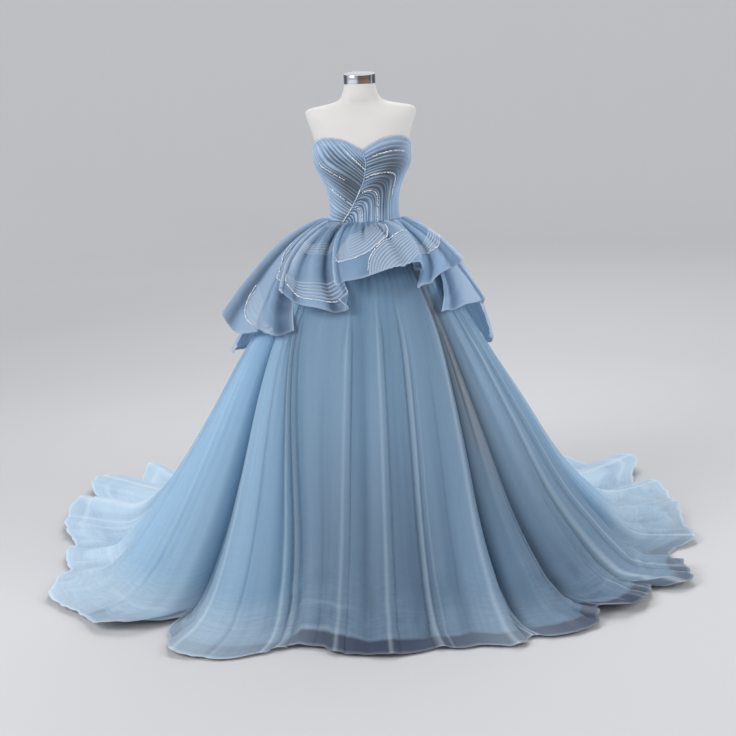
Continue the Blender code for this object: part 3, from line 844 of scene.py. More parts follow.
@dataclass(frozen=True)
class CapFinish:
    """Polished chrome whose side carries a painted reflection of a darker room in upright stripes.
    """

    name: str = "chrome"
    bright: Colour = (0.86, 0.9, 0.96)
    # share of the way round, from the back by the right side, and the painted reflection's colour
    # there
    painted_reflection_bands: tuple[tuple[float, Colour], ...] = (
        (0.0, (0.6, 0.63, 0.68)), (0.3, (0.09, 0.1, 0.12)), (0.345, (0.1, 0.12, 0.16)),
        (0.365, (0.62, 0.65, 0.72)), (0.385, (0.16, 0.13, 0.13)), (0.41, (0.32, 0.21, 0.17)),
        (0.48, (0.28, 0.18, 0.14)), (0.51, (0.2, 0.2, 0.22)), (0.535, (0.78, 0.81, 0.87)),
        (0.62, (0.9, 0.92, 0.96)), (0.66, (0.12, 0.13, 0.15)), (0.72, (0.1, 0.11, 0.13)),
        (1.0, (0.6, 0.63, 0.68)),
    )

    def material(self) -> Material:
        """Builds the shader.

        Returns:
            The material.
        """
        graph = Graph(self.name)
        ramp = graph.node(
            "ShaderNodeValToRGB", {"stops": self.painted_reflection_bands}, {"Fac": graph.mark("around")}
        )["Color"]
        smudge = graph.noise(60.0, 3.0)
        return graph.surface(
            Base_Color=graph.mix(graph.mark("side"), self.bright, ramp),
            Roughness=0.12 + smudge * 0.08, Metallic=0.45 + graph.mark("side") * 0.55,
        )


@dataclass(frozen=True)
class FloorFinish:
    """A plain pale studio floor."""

    name: str = "studio_floor"
    colour: Colour = (0.58, 0.58, 0.59)
    wall: Colour = (0.21, 0.214, 0.222)  # lifts the far wall, which little light reaches

    def material(self) -> Material:
        """Builds the shader.

        Returns:
            The material.
        """
        graph = Graph(self.name)
        grain = graph.noise(180.0, 3.0)
        colour = graph.mix(grain * 0.2, self.colour, (0.52, 0.52, 0.53))
        return graph.surface(
            Base_Color=colour, Roughness=0.85, Specular_IOR_Level=0.2,
            Emission_Color=graph.mix(graph.mark("wall"), (0.0, 0.0, 0.0), self.wall),
            Emission_Strength=1.0,
        )


# --- The dress form ---


@dataclass
class DressForm:
    """The limbless form, its neck cap and its stand."""

    cover: CoverFinish = CoverFinish()
    chrome: CapFinish = CapFinish()
    paint: MetalFinish = MetalFinish("white_paint", (0.8, 0.8, 0.8), 0.35, 0.0)
    rings: Table = Table((
        (0.8, 0.142, 0.088, 0.098), (0.812, 0.158, 0.098, 0.11), (0.9, 0.166, 0.104, 0.12),
        (0.98, 0.152, 0.099, 0.108), (1.05, 0.124, 0.087, 0.088), (1.1, 0.108, 0.08, 0.079),
        (1.145, 0.1045, 0.08, 0.077), (1.19, 0.11, 0.087, 0.081), (1.235, 0.127, 0.096, 0.09),
        (1.29, 0.149, 0.104, 0.099), (1.34, 0.1495, 0.095, 0.102), (1.39, 0.161, 0.081, 0.1),
        (1.425, 0.1725, 0.068, 0.09), (1.443, 0.176, 0.056, 0.078),
        (1.454, 0.168, 0.048, 0.068), (1.463, 0.13, 0.044, 0.06),
        (1.472, 0.086, 0.045, 0.055), (1.484, 0.064, 0.049, 0.053),
        (1.505, 0.054, 0.05, 0.05), (1.528, 0.049, 0.049, 0.049),
    ))
    cup_rise: float = 0.02
    cup_angle: float = 40.0
    cup_spread: float = 26.0
    cup_height: float = 1.285
    cup_size: float = 0.048
    columns: int = 128
    levels: int = 96
    seams: tuple[float, ...] = (-180.0, -90.0, 90.0)
    seam_width: float = 0.002
    seam_depth: float = 0.0005
    # faint pulls in the cover: angle and height of both ends, width, height of the ridge
    pulls: Rows = (
        (-21, 1.432, 16, 1.345, 0.0045, 0.0009), (-8, 1.44, 26, 1.372, 0.004, -0.0006),
        (-48, 1.42, -30, 1.375, 0.0045, 0.0005),
    )
    cap_radius: float = 0.05
    cap_height: float = 0.032
    cap_lean: float = math.radians(7.0)
    neck_top: float = 1.528

    def point(self, angle: Number, height: Number, out: Number = 0.0) -> Array:
        """Points of the form's surface, moved out horizontally.

        Args:
            angle: Degrees from the front.
            height: Height above the floor.
            out: Distance outwards from the surface.

        Returns:
            The points.
        """
        angle, height = np.broadcast_arrays(np.asarray(angle, float), height)
        wide, front, back = (self.rings.read(number, height) for number in (1, 2, 3))
        side, ahead = np.sin(np.radians(angle)), np.cos(np.radians(angle))
        deep = np.where(ahead > 0, front, back)
        cup = bell(np.abs(angle) - self.cup_angle, self.cup_spread)
        cup = cup * bell(height - self.cup_height, self.cup_size)
        normal = unit(np.stack([side / wide, -ahead / deep], -1))
        flat = np.stack([wide * side, -deep * ahead], -1)
        flat = flat + normal * (out + self.cup_rise * cup)[..., None]
        return np.concatenate([flat, height[..., None]], -1)

    def build(self) -> None:
        """Makes the covered torso, the cap, and dresses the stand."""
        self._torso()
        self._cap()
        paint = self.paint.material()
        for node in ("stand_pole", "stand_base"):
            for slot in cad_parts[node].material_slots:
                slot.material = paint

    def _torso(self) -> None:
        """The torso and its seams, closed at the foot and the neck."""
        angles = np.linspace(-180, 180, self.columns, endpoint=False)[:, None]
        places = np.linspace(0, 1, self.levels)
        heights = smooth([0.0, 0.66, 1.0], [0.8, 1.4, 1.528], places)[None, ::-1]
        near = np.min([np.abs((angles - s + 180) % 360 - 180) for s in self.seams], axis=0)
        seam = bell(np.radians(near) * BODY_RADIUS, self.seam_width) * np.ones_like(heights)
        out = -self.seam_depth * seam
        for start, high, end, low, width, ridge in self.pulls:
            down = np.clip((high - heights) / (high - low), 0, 1)
            away = np.radians(angles - blend(start, end, down)) * BODY_RADIUS
            out = out + ridge * bell(away, width) * np.sin(np.pi * down)
        grid = self.point(angles, heights, out)
        closed = np.concatenate([grid, grid[:1]])
        parts = MeshParts()
        parts.grid(closed, {"line": np.concatenate([seam, seam[:1]])})
        for level, flip in ((0, False), (-1, True)):
            rim = closed[:, level]
            middle = rim.mean(0)
            rings = blend(rim[:, None], middle, np.array([0.0, 0.02, 0.5, 0.995])[None, :, None])
            parts.grid(rings, {}, flip=not flip)
        torso = parts.make("form_cover", self.cover.material())
        place(torso, "form_cover", ["form_torso"])

    def _cap(self) -> None:
        """A short polished cap whose top slants down to the front."""
        around = np.radians(np.linspace(0, 360, 97))[:, None]
        profile = np.array((
            (-0.001, 0), (0, 0.001), (0, 0.0295), (-0.0006, 0.0312), (-0.002, 0.032),
            (-0.006, 0.0318), (-0.012, 0.0328), (-0.03, 0.0336), (-0.0495, 0.0338),
        ))
        radius = self.cap_radius + profile[None, :, 0]
        lean = math.tan(self.cap_lean) * profile[None, :, 1] / self.cap_height
        x, y = radius * np.sin(around), radius * np.cos(around)
        rise = self.neck_top + SEAM_GAP + profile[None, :, 1] + y * lean
        parts = MeshParts()
        side = np.clip((0.0005 - profile[None, :, 1] + 0.03) / 0.001, 0, 1) + 0 * around
        marks = {"around": around / (2 * math.pi) + 0 * rise, "side": side}
        parts.grid(np.stack([x, y, rise], -1), marks)
        cap = parts.make("polished_cap", self.chrome.material())
        place(cap, "chrome", ["neck_cap"])


# --- The bodice ---


class Side(Enum):
    """The sides of the bodice, as someone who faces it sees them."""

    LEFT = "left"
    RIGHT = "right"


@dataclass
class Bodice:
    """Front panels in swirled pleats, plain back panels, and the zip between them."""

    form: DressForm
    finish: PleatFinish = PleatFinish()
    neckline: Table = Table((
        (0, 1.33), (10, 1.346), (24, 1.363), (42, 1.369), (62, 1.362),
        (90, 1.338), (125, 1.3), (180, 1.275),
    ))
    swirl_seam: Table = Table((
        (1.33, 0), (1.285, 3), (1.24, 1), (1.19, -9), (1.145, -22), (1.1, -38),
    ))
    pleats: int = 26
    points_per_pleat: int = 6
    steps: int = 90
    seam_points: int = 60
    rise: float = 0.0021
    pleat_lap: float = 0.3  # share of a pleat over which it steps up
    uneven: float = 0.2  # how far the pleats' lines stray, in pleats
    softening: int = 360
    # powers by which the pleats crowd at their start and end, size and area of the cut
    fronts: tuple[tuple[Side, Pair, Pair, float], ...] = (
        (Side.LEFT, (1.22, 0.86), (0.36, 0.3), 0.056),
        (Side.RIGHT, (1.0, 1.0), (0.38, 0.3), 0.066),
    )
    sheer_edge: float = 0.0105  # the neckline fades out over this
    piping: float = 0.0014
    first_pleat: float = 9.0
    fan_end: float = -30.0
    side_seam: float = 0.08
    swirl_gap: float = 0.1
    zip_half_angle: float = 1.6
    zip_seam: float = 0.25
    back_cut: Pair = (0.2, 0.25)
    back_area: float = 0.032
    top_haze: float = 0.045  # the haze below the neckline fades over this
    # strength of the painted light at the sides, the angle where it starts, and over which it grows
    left_painted_light: Triple = (0.75, 25.0, 50.0)
    right_painted_light: Triple = (0.9, 30.0, 45.0)
    # strength, start and growth of a paler zone at the ends of the right pleats, in shares of their
    # length
    end_pale_zone: Triple = (0.45, 0.75, 0.25)

    def top(self, angle: Number) -> Array:
        """Height of the neckline."""
        return self.neckline.read(1, np.abs(angle))

    def top_path(self, start: float, end: float, count: int = 60) -> Array:
        """The neckline as (angle, height) points."""
        angles = np.linspace(start, end, count)
        return np.stack([angles, self.top(angles)], -1)

    def seam_path(self, side: int) -> Array:
        """The seam between the swirls as (angle, height) points, a little to one side.

        Args:
            side: -1 for the left side, 1 for the right.

        Returns:
            The points, from the top down.
        """
        tops = self.swirl_seam.column(0)
        heights = np.linspace(tops[0], tops[-1], self.seam_points)
        turned = [-height for height in tops]
        angles = smooth(turned, self.swirl_seam.column(1), -heights)
        return np.stack([angles + side * self.swirl_gap, heights], -1)

    @staticmethod
    def on_path(path: Array, share: Array) -> Array:
        """Points at these shares of the length of a path of (angle, height) points.

        Args:
            path: The points of the path.
            share: Where to read it, 0 to 1.

        Returns:
            One point for each share.
        """
        path = np.asarray(path, float)
        real = path * (math.radians(1) * BODY_RADIUS, 1.0)
        steps = np.linalg.norm(np.diff(real, axis=0), axis=1)
        length = np.concatenate([[0], np.cumsum(steps)])
        at = np.asarray(share) * length[-1]
        return np.stack([np.interp(at, length, path[:, k]) for k in (0, 1)], -1)

    def pleats_at(self, share: Array) -> Array:
        """Which pleat a share of the way across is in, with unevenly wide pleats."""
        stray = np.sin(share * 41.0) + 0.7 * np.sin(share * 67.0 + 1.3)
        return share * self.pleats + self.uneven * stray * np.sin(np.pi * share)

    def pleat_profile(self, share: Array) -> Array:
        """Height of the pleats, 0 to 1: each steps up quickly and lies down slowly."""
        part = self.pleats_at(share) % 1.0
        return soft_step(part / self.pleat_lap) * (1 - soft_step((part - 0.35) / 0.65) * 0.9)

    def patch(self, start: Array, end: Array, first: Array, last: Array, warp: Pair) -> Array:
        """A four-sided patch of (angle, height) points, pleat by pleat.

        Args:
            start: The edge that the pleats start from.
            end: The edge that they run to.
            first: The line of the first pleat.
            last: The line of the last one.
            warp: Powers by which the pleats crowd along the start and the end edge.

        Returns:
            Points: across the pleats, then along them.
        """
        shares = np.linspace(0, 1, self.pleats * self.points_per_pleat + 1)
        steps = np.linspace(0, 1, self.steps + 1)
        start, end = self.on_path(start, shares ** warp[0]), self.on_path(end, shares ** warp[1])
        first, last = self.on_path(first, steps), self.on_path(last, steps)
        u, v = shares[:, None, None], steps[None, :, None]
        sides = (1 - v) * start[:, None] + v * end[:, None]
        ends = (1 - u) * first[None] + u * last[None]
        low = (1 - v) * start[0] + v * end[0]
        high = (1 - v) * start[-1] + v * end[-1]
        flat = sides + ends - blend(low, high, u)
        soft = soft_step(u / 0.2)
        for _ in range(self.softening):
            middle = 0.25 * (flat[:, :-2] + 2 * flat[:, 1:-1] + flat[:, 2:])
            flat[:, 1:-1] = blend(flat[:, 1:-1], middle, soft)
        return flat

    def front_edges(self, side: Side) -> tuple[Array, Array, Array, Array]:
        """The four edges of a front panel, as :meth:`patch` takes them.

        Args:
            side: Which front panel.

        Returns:
            Paths for start, end, first pleat and last pleat.
        """
        edge = 90.0 - self.side_seam
        if side is Side.LEFT:
            seam = self.seam_path(-1)
            start = np.concatenate([self.top_path(-self.first_pleat, -edge), [(-edge, WAIST)]])
            first = self.top_path(-self.first_pleat, seam[0][0], 8)
            return start, seam, first, np.array([(-edge, WAIST), seam[-1]])
        seam = self.seam_path(1)
        end = np.array([(edge, WAIST), (self.fan_end, WAIST)])
        first = np.concatenate([self.top_path(seam[0][0], edge), [(edge, WAIST)]])
        return seam, end, first, np.array([seam[-1], (self.fan_end, WAIST)])

    @staticmethod
    def add_pale_zone(haze: Array, place: Array, zone: Triple) -> Array:
        """Paleness with one more zone, which grows from the zone's start."""
        strength, start, growth = zone
        return np.maximum(haze, strength * soft_step((place - start) / growth))

    def build(self) -> Marks:
        """Makes every panel.

        Returns:
            The outer points of each front panel, across its pleats and along them.
        """
        cloth = self.finish.material()
        faces = {}
        for side, warp, cut, area in self.fronts:
            flat = self.patch(*self.front_edges(side), warp)
            share = np.linspace(0, 1, flat.shape[0])[:, None] * np.ones(flat.shape[1])[None]
            along_it = np.linspace(0, 1, flat.shape[1])[None]
            pleat = self.pleat_profile(share)
            below = self.top(flat[..., 0]) - flat[..., 1]
            # pale below the neckline where the net is sheer, with painted light added at the sides
            haze = soft_step(1 - below / self.top_haze)
            if side is Side.LEFT:
                haze = self.add_pale_zone(haze, -flat[..., 0], self.left_painted_light)
                shade = bell(share - 0.5, 0.35) * soft_step((along_it - 0.35) / 0.5)
            else:
                haze = self.add_pale_zone(haze, flat[..., 0], self.right_painted_light)
                haze = self.add_pale_zone(haze, along_it, self.end_pale_zone)
                shade = 1.25 * bell(share - 0.28, 0.34) * bell(along_it - 0.38, 0.3)
            number = np.floor(self.pleats_at(share))
            tone = lattice_noise(number * 0.77, along_it * 5 + number * 0.31, 5)
            sheer = bell(below, self.sheer_edge)
            marks = {"pleat": pleat, "tone": tone, "haze": haze, "shade": shade, "sheer": sheer}
            inner = self.form.point(flat[..., 0], flat[..., 1], FORM_EASE)
            out = FORM_EASE + BODICE_WALL * 0.7 + self.rise * pleat
            outer = self.form.point(flat[..., 0], flat[..., 1], out)
            parts = MeshParts()
            parts.wall(outer, inner, marks)
            if side is Side.RIGHT:
                faces["seam"] = self.form.point(
                    flat[:, 0, 0], flat[:, 0, 1], FORM_EASE + BODICE_WALL + 0.7 * self.rise
                )
                parts.tube(faces["seam"], self.piping, 8, {"pleat": 0.8, "haze": 0.5})
            panel = parts.make(f"pleated_front_{side.value}", cloth, sharp=None)
            place(panel, "bodice_tulle", [f"bodice_front_{side.value}"])
            faces[side.value] = outer
        edge = 180 - self.zip_half_angle
        for side, sign in ((Side.LEFT, -1), (Side.RIGHT, 1)):
            start, end = sign * (90.0 + self.side_seam), sign * (edge - self.zip_seam)
            panel = self.back_panel(f"plain_back_{side.value}", start, end, cloth)
            place(panel, "bodice_tulle", [f"bodice_back_{side.value}"])
            cut, area = self.back_cut, self.back_area
        zip_strip = self.back_panel("concealed_zip", edge, 360 - edge, cloth, 12)
        place(zip_strip, "zip_tape", ["back_zip"])
        return faces

    def back_panel(
        self, name: str, start: float, end: float, cloth: Material, columns: int = 48
    ) -> Thing:
        """A panel of the back, from the waist to the neckline.

        Args:
            name: The piece's name.
            start: Angle of its first edge.
            end: Angle of its last edge.
            cloth: Its material.
            columns: Points across it.

        Returns:
            The piece.
        """
        angles = np.linspace(start, end, columns)[:, None]
        tops = self.top(np.where(angles > 180, 360 - angles, angles))
        heights = blend(tops, WAIST, np.linspace(0, 1, 60)[None])
        outer = self.form.point(angles, heights, FORM_EASE + BODICE_WALL)
        inner = self.form.point(angles, heights, FORM_EASE)
        parts = MeshParts()
        even = np.ones_like(heights * angles)
        sheer = bell(tops - heights, 0.4 * self.sheer_edge) * even
        parts.wall(outer, inner, {"pleat": 0.7 * even, "haze": 0.6 * even, "sheer": sheer})
        return parts.make(name, cloth)


# --- The skirt ---


@dataclass(frozen=True)
class Crease:
    """A ridge that follows the cloth down, or a trough where its height is negative."""

    fold: float  # degrees, where it meets the hem
    top: float  # shares of the way down, between which it shows
    foot: float
    width: float  # degrees
    height: float  # metres

    def lift(self, fold: Array, drop: Array) -> Array:
        """How far it lifts each point of the cloth."""
        ends = soft_step((drop - self.top) / 0.15) * soft_step((self.foot - drop) / 0.15)
        return self.height * bell((fold - self.fold + 180.0) % 360.0 - 180.0, self.width) * ends


PAST_HEM = 1.2  # the foot of a crease that runs out to the hem
CREASE_SEED = 8


def back_creases() -> tuple[Crease, ...]:
    """Creases of the sides and the train, as uneven as the front's.

    Returns:
        The creases, from the right round the back to the left.
    """
    draw = np.random.default_rng(CREASE_SEED)
    creases, fold = [], 68.0
    while fold < 296.0:
        top = draw.uniform(0.15, 0.55)
        foot = draw.choice([PAST_HEM, draw.uniform(0.75, 1.1)])
        height = draw.uniform(0.004, 0.009) * draw.choice([1.0, 1.0, -1.2])
        width = draw.uniform(0.35, 0.9)
        creases.append(Crease((fold + 180) % 360 - 180, top, foot, width, height))
        fold += draw.uniform(2.2, 5.5)
    return tuple(creases)


# fold, share of the way down where it starts, width and height of each
FRONT_CREASES = tuple(
    Crease(fold, top, PAST_HEM, width, height)
    for fold, top, width, height in (
        (-57.5, 0.3, 1, 0.004), (-52, 0.35, 0.8, -0.005), (-45.6, 0.25, 0.9, -0.012),
        (-38, 0.4, 0.7, 0.003), (-35.3, 0.2, 0.9, 0.006), (-29.5, 0.3, 0.7, -0.004),
        (-21.4, 0.2, 0.3, 0.003), (-20.3, 0.2, 0.34, -0.007), (-19.1, 0.2, 0.28, 0.003),
        (-18, 0.2, 0.36, -0.006), (-12.5, 0.35, 0.5, -0.003), (-8, 0.2, 0.4, 0.005),
        (-6.9, 0.2, 0.4, -0.005), (1.8, 0.2, 0.4, 0.005), (3.1, 0.2, 0.4, -0.005),
        (9.9, 0.22, 0.4, -0.011), (10.9, 0.22, 0.32, 0.007), (17.6, 0.3, 0.6, -0.003),
        (23.8, 0.18, 0.5, 0.009), (25.4, 0.18, 0.45, -0.012), (27, 0.2, 0.28, 0.004),
        (28.5, 0.2, 0.28, 0.004), (34.5, 0.25, 0.6, 0.003), (41, 0.18, 0.5, 0.009),
        (42.6, 0.2, 0.45, -0.012), (50, 0.25, 0.7, 0.004), (53.5, 0.3, 0.55, -0.005),
        (61, 0.2, 0.7, 0.008), (64, 0.3, 0.5, -0.008),
    )
)


class Layer(Enum):
    """The two layers of each skirt panel."""

    LINING = "lining"
    NET = "net"


@dataclass
class Skirt:
    """The gathered skirt and its train: net over a lining, in five panels."""

    form: DressForm
    net: NetFinish = NetFinish()
    lining: LiningFinish = LiningFinish()
    profile: Table = Table((
        (0, 0.83, 0.845, 1.01, 0.885), (0.1, 0.728, 0.745, 0.83, 0.78),
        (0.25, 0.61, 0.617, 0.67, 0.665), (0.45, 0.485, 0.505, 0.52, 0.535),
        (0.65, 0.368, 0.392, 0.4, 0.42), (0.8, 0.285, 0.305, 0.31, 0.325),
        (0.95, 0.2, 0.22, 0.225, 0.23), (1.05, 0.128, 0.146, 0.14, 0.148),
        (1.1, 0.09, 0.115, 0.09, 0.115),
    ))
    # angle of the fold at the hem, depth, reach of the hem, lift of the hem
    folds: Table = Table((
        (-180, -0.04, 1.24, 0), (-172, 0.04, 1.265, 0.01), (-164, -0.05, 1.225, 0),
        (-156, 0.045, 1.24, 0.015), (-149, -0.05, 1.16, 0), (-142, 0.04, 1.165, 0.02),
        (-136, -0.04, 1.12, 0), (-130.5, 0.04, 1.165, 0.055), (-127, -0.03, 1.15, 0),
        (-123.5, 0.05, 1.285, 0.035), (-119, 0, 1.235, 0.025), (-115.5, -0.04, 1.135, 0),
        (-111.5, 0.05, 1.195, 0.04), (-104, 0.015, 1.155, 0.025), (-97, -0.02, 1.09, 0.012),
        (-92, -0.05, 1.045, 0), (-86, 0.02, 1.045, 0.018), (-80, -0.03, 1.03, 0),
        (-73, 0.06, 1.09, 0.012), (-66, 0.078, 1.105, 0.01), (-59, 0.07, 1.072, 0.008),
        (-52, 0.062, 1.07, 0.014), (-47.5, 0.03, 1.015, 0.032), (-44, -0.11, 0.81, 0.026),
        (-40.5, -0.01, 0.945, 0), (-34, 0.065, 1.018, 0), (-28, 0.055, 1.008, 0),
        (-22.5, 0.02, 0.945, 0), (-18.5, -0.04, 0.878, 0), (-15, 0.005, 0.85, 0),
        (-11, 0.008, 0.853, 0), (-7, 0.034, 0.888, 0), (-2.5, 0.01, 0.899, 0),
        (2, 0.032, 0.905, 0), (6.5, 0.012, 0.898, 0), (10.5, -0.034, 0.884, 0),
        (14, 0.014, 0.905, 0), (19, 0.026, 0.916, 0), (24, 0.048, 0.95, 0),
        (27.5, -0.052, 0.92, 0), (31, 0.02, 0.964, 0), (35.5, 0.046, 0.985, 0.005),
        (39, 0.016, 0.98, 0), (42.5, -0.085, 0.915, 0.01), (46.5, 0.01, 0.992, 0.018),
        (51, 0.034, 1.005, 0.018), (55, 0.03, 0.99, 0.01), (58.5, -0.06, 0.965, 0),
        (62.5, 0.034, 1.075, 0.012), (67, 0.052, 1.03, 0.02), (72, 0.026, 0.995, 0.01),
        (77, -0.04, 1, 0), (83, 0.034, 1.075, 0.012), (90, -0.01, 1.055, 0.018),
        (97, 0.03, 1.068, 0.03), (104, -0.02, 1.09, 0.012), (110, 0.034, 1.11, 0.03),
        (114.5, -0.02, 1.085, 0.008), (119, 0.02, 1.125, 0.018), (124, 0.05, 1.22, 0.045),
        (129, -0.03, 1.1, 0), (136, 0.04, 1.105, 0.018), (143.5, -0.04, 1.09, 0),
        (151.5, 0.045, 1.17, 0.015), (160, -0.05, 1.18, 0), (168, 0.045, 1.25, 0.012),
        (174, -0.02, 1.25, 0),
    ))
    # angle of the fold at the hem, how far it has turned at lean_height
    lean: Table = Table((
        (-180, 0), (-92, -2), (-66, -12), (-45, -19), (-35, -20),
        (-19, -27), (-8, -5), (2, 3.5), (10.5, 9), (24, 17), (41, 8),
        (61, 6), (90, 0), (180, 0),
    ))
    # angle of the fold at the hem, and the painted light high up and near the hem: pale on the lit
    # side, darker where shade falls
    painted_light_tones: Table = Table((
        (-180, 0.75, 1.1), (-120, 0.95, 1.2), (-75, 1, 1.1), (-57, 1, 0.8), (-42, 0.78, 0.55),
        (-33, 0.78, 0.62), (-22, 0.52, 0.45), (-12, 0.42, 0.08), (0, 0.42, 0),
        (12, 0.36, 0.1), (26, 0.3, 0.3), (34, 0.42, 0.14), (45, 0.62, 0), (60, 0.54, 0.15),
        (72, 0.62, 0.3), (88, 0.75, 0.75), (130, 0.9, 1.2),
    ))
    # angle of a crisp folded edge in the net, its width in degrees, how pale it is, partly doubled
    # net and partly painted highlight
    edges: tuple[Triple, ...] = (
        (-130.5, 0.4, 0.5), (-123.5, 0.4, 0.65), (-111.5, 0.4, 0.5), (-104, 0.35, 0.35),
        (-57, 0.24, 0.35), (-45, 0.22, 0.45), (-35.4, 0.22, 0.4), (-28.6, 0.2, 0.25),
        (-21.4, 0.16, 0.4), (-19.2, 0.16, 0.4), (-8.1, 0.14, 0.3), (1.7, 0.14, 0.3),
        (10.9, 0.16, 0.4), (13, 0.16, 0.25), (23.7, 0.15, 0.35), (27, 0.14, 0.45),
        (28.5, 0.14, 0.45), (40.9, 0.15, 0.35), (44.3, 0.18, 0.25), (53, 0.25, 0.35),
        (61.3, 0.25, 0.55), (65.6, 0.25, 0.4), (83, 0.3, 0.4), (110, 0.35, 0.4),
        (124, 0.4, 0.6),
    )
    warm_fold: float = 37.5  # the layers are thin here, and the cloth looks warmer
    warm_width: float = 8.0
    greyed: float = 0.25  # how much of the warmer look the lying train has
    across_scale: float = 0.0105  # metres of cloth to a degree of the fold's angle
    down_scale: float = 1.3
    lean_height: float = 0.8
    lean_power: float = 1.6
    ease_in: float = 0.07
    growth: float = 1.25
    least_lying: float = 0.025
    ridge_share: float = 0.3
    hanging_levels: int = 90
    lying_levels: int = 30
    levels: int = 100
    softening: int = 14
    sheer: float = 0.066  # the lining stops this far above the hem
    net_out: float = 0.003
    net_float: float = 0.0065  # how much further out the net floats in places
    net_bridging: float = 0.86  # share of the hollows' depth that the net follows
    waves: tuple[tuple[int, float], ...] = ((64, 0.0085), (128, 0.0034), (192, 0.0012))
    gathers: int = 110  # small pleats round the waist
    gather_height: float = 0.0013
    crumple: float = 0.0085
    crisp: float = 0.011  # sharper creases where the cloth lies
    front_calm: float = 0.35  # share of both in front, where the hem only touches the floor
    lying_height: float = 0.12  # below this the cloth begins to lie
    rest: Pair = (0.0012, 0.003)  # least heights of the lining and the net
    tuck_height: float = 0.15  # a faint line in the net, above the hem
    line_width: float = 0.0025
    edge_length: float = 0.01  # crests broaden and hollows narrow with this
    edge_window: int = 25
    creases: tuple[Crease, ...] = FRONT_CREASES + back_creases()
    # node, tag, first and last fold, columns to a fold, hem width, length and area of the cut
    panels: tuple[tuple[str, str, float, float, int, float, float, float], ...] = (
        ("train_left", "train_left", -180.0, -92.0, 9, 2.2, 1.75, 2.05),
        ("skirt_left", "left", -92.0, -40.5, 12, 1.15, 1.55, 1.0),
        ("skirt_front", "front", -40.5, 39.0, 15, 1.6, 1.4, 1.35),
        ("skirt_right", "right", 39.0, 90.0, 12, 1.2, 1.5, 1.0),
        ("train_right", "train_right", 90.0, 180.0, 9, 2.15, 1.7, 1.95),
    )

    def base_reach(self, angle: Number, height: Number) -> Array:
        """How far the skirt's mean surface is from the axis.

        Args:
            angle: Degrees from the front.
            height: Height above the floor.

        Returns:
            Distances from the axis.
        """
        turn = np.radians(angle)
        sides = (np.cos(turn), np.sin(turn), -np.cos(turn), -np.sin(turn))
        reads = (self.profile.read(k, height) for k in range(1, 5))
        reach = sum(np.maximum(0, side) ** 2 * read for side, read in zip(sides, reads))
        waist = np.linalg.norm(self.form.point(angle, WAIST, SKIRT_OUT)[..., :2], axis=-1)
        return blend(waist, reach, soft_step((SEAM_TOP - height) / self.ease_in))

    def lean_angle(self, fold: Number, height: Number) -> Array:
        """The angle, at this height, of the line of cloth that meets the hem at ``fold``."""
        rise = (np.minimum(height, self.lean_height) / self.lean_height) ** self.lean_power
        return fold + self.lean.read(1, fold) * rise

    def hanging_reach(self, fold: Number, height: Number, layer: Layer) -> Array:
        """Reach of a layer's folds while they hang.

        Args:
            fold: The fold that each point follows.
            height: Height above the floor.
            layer: Which layer.

        Returns:
            Distances from the axis.
        """
        depth = self.folds.read_round(1, fold)
        if layer is Layer.NET:
            depth = np.where(depth < 0, depth * self.net_bridging, depth)
        drop = np.clip((SEAM_TOP - height) / SEAM_TOP, 0, 1)
        return self.base_reach(self.lean_angle(fold, height), height) + depth * drop**self.growth

    def ripple(self, fold: Array, drop: Array) -> Array:
        """Gathers and creases down the cloth, and crumples where it meets the floor.

        Args:
            fold: The fold that each point follows.
            drop: How far down it is, 0 to 1.

        Returns:
            Metres outwards.
        """
        turn = (fold + 180.0) / 360.0
        total = 0.0 * fold * drop
        for number, (waves, size) in enumerate(self.waves):
            wander = drop * (0.9 + 0.5 * number)
            total = total + size * lattice_noise(turn * waves, wander, 11 + number)
        pleats = np.sin(2 * math.pi * turn * self.gathers + 2.0 * np.sin(18 * math.pi * turn))
        gathered = self.gather_height * pleats * bell(drop - 0.12, 0.1)
        total = total * soft_step(drop / 0.35) + gathered
        total = total + sum(crease.lift(fold, drop) for crease in self.creases)
        slanted = turn * 64 + drop * 5
        calm = blend(self.front_calm, 1.0, soft_step((np.abs(fold) - 30) / 30))
        low = calm * soft_step((drop - 0.72) / 0.2)
        total = total + self.crumple * lattice_noise(slanted, drop * 24, 18) * low
        crisp = 0.3 - np.abs(lattice_noise(turn * 128 + drop * 7, drop * 34, 23))
        return total + self.crisp * crisp * calm * soft_step((drop - 0.74) / 0.2)

    def broaden_crests(self, angle: Array, reach: Array, drop: Array) -> Array:
        """Turns columns sideways, so that crests are broad and the hollows between narrow.

        Args:
            angle: The columns' angles at each level.
            reach: Their distances from the axis.
            drop: How far down each level is, 0 to 1.

        Returns:
            The new angles.
        """
        ahead = np.radians((np.roll(angle, -1, 0) - angle) % 360.0)
        step = np.maximum(ahead * 0.5 * (reach + np.roll(reach, -1, 0)), 1e-5)
        slope = (np.roll(reach, -1, 0) - reach) / step
        bend = (slope - np.roll(slope, 1, 0)) / (0.5 * (step + np.roll(step, 1, 0)))
        for _ in range(3):
            bend = 0.5 * bend + 0.25 * (np.roll(bend, 1, 0) + np.roll(bend, -1, 0))
        length = self.edge_length * soft_step(drop / 0.3)
        grow = np.clip(np.exp(-length * 0.5 * (bend + np.roll(bend, -1, 0))), 0.3, 2.2) - 1
        moved = np.cumsum(grow * step, 0) - grow * step
        moved = moved - moved[-1:] * np.linspace(0, 1, len(moved))[:, None]
        window = self.edge_window
        padded = np.concatenate([moved[-window:], moved, moved[:window]])
        total = np.cumsum(padded, 0)
        mean = (total[2 * window :] - total[: -2 * window]) / (2 * window)
        return angle + np.degrees((moved - mean) / reach)

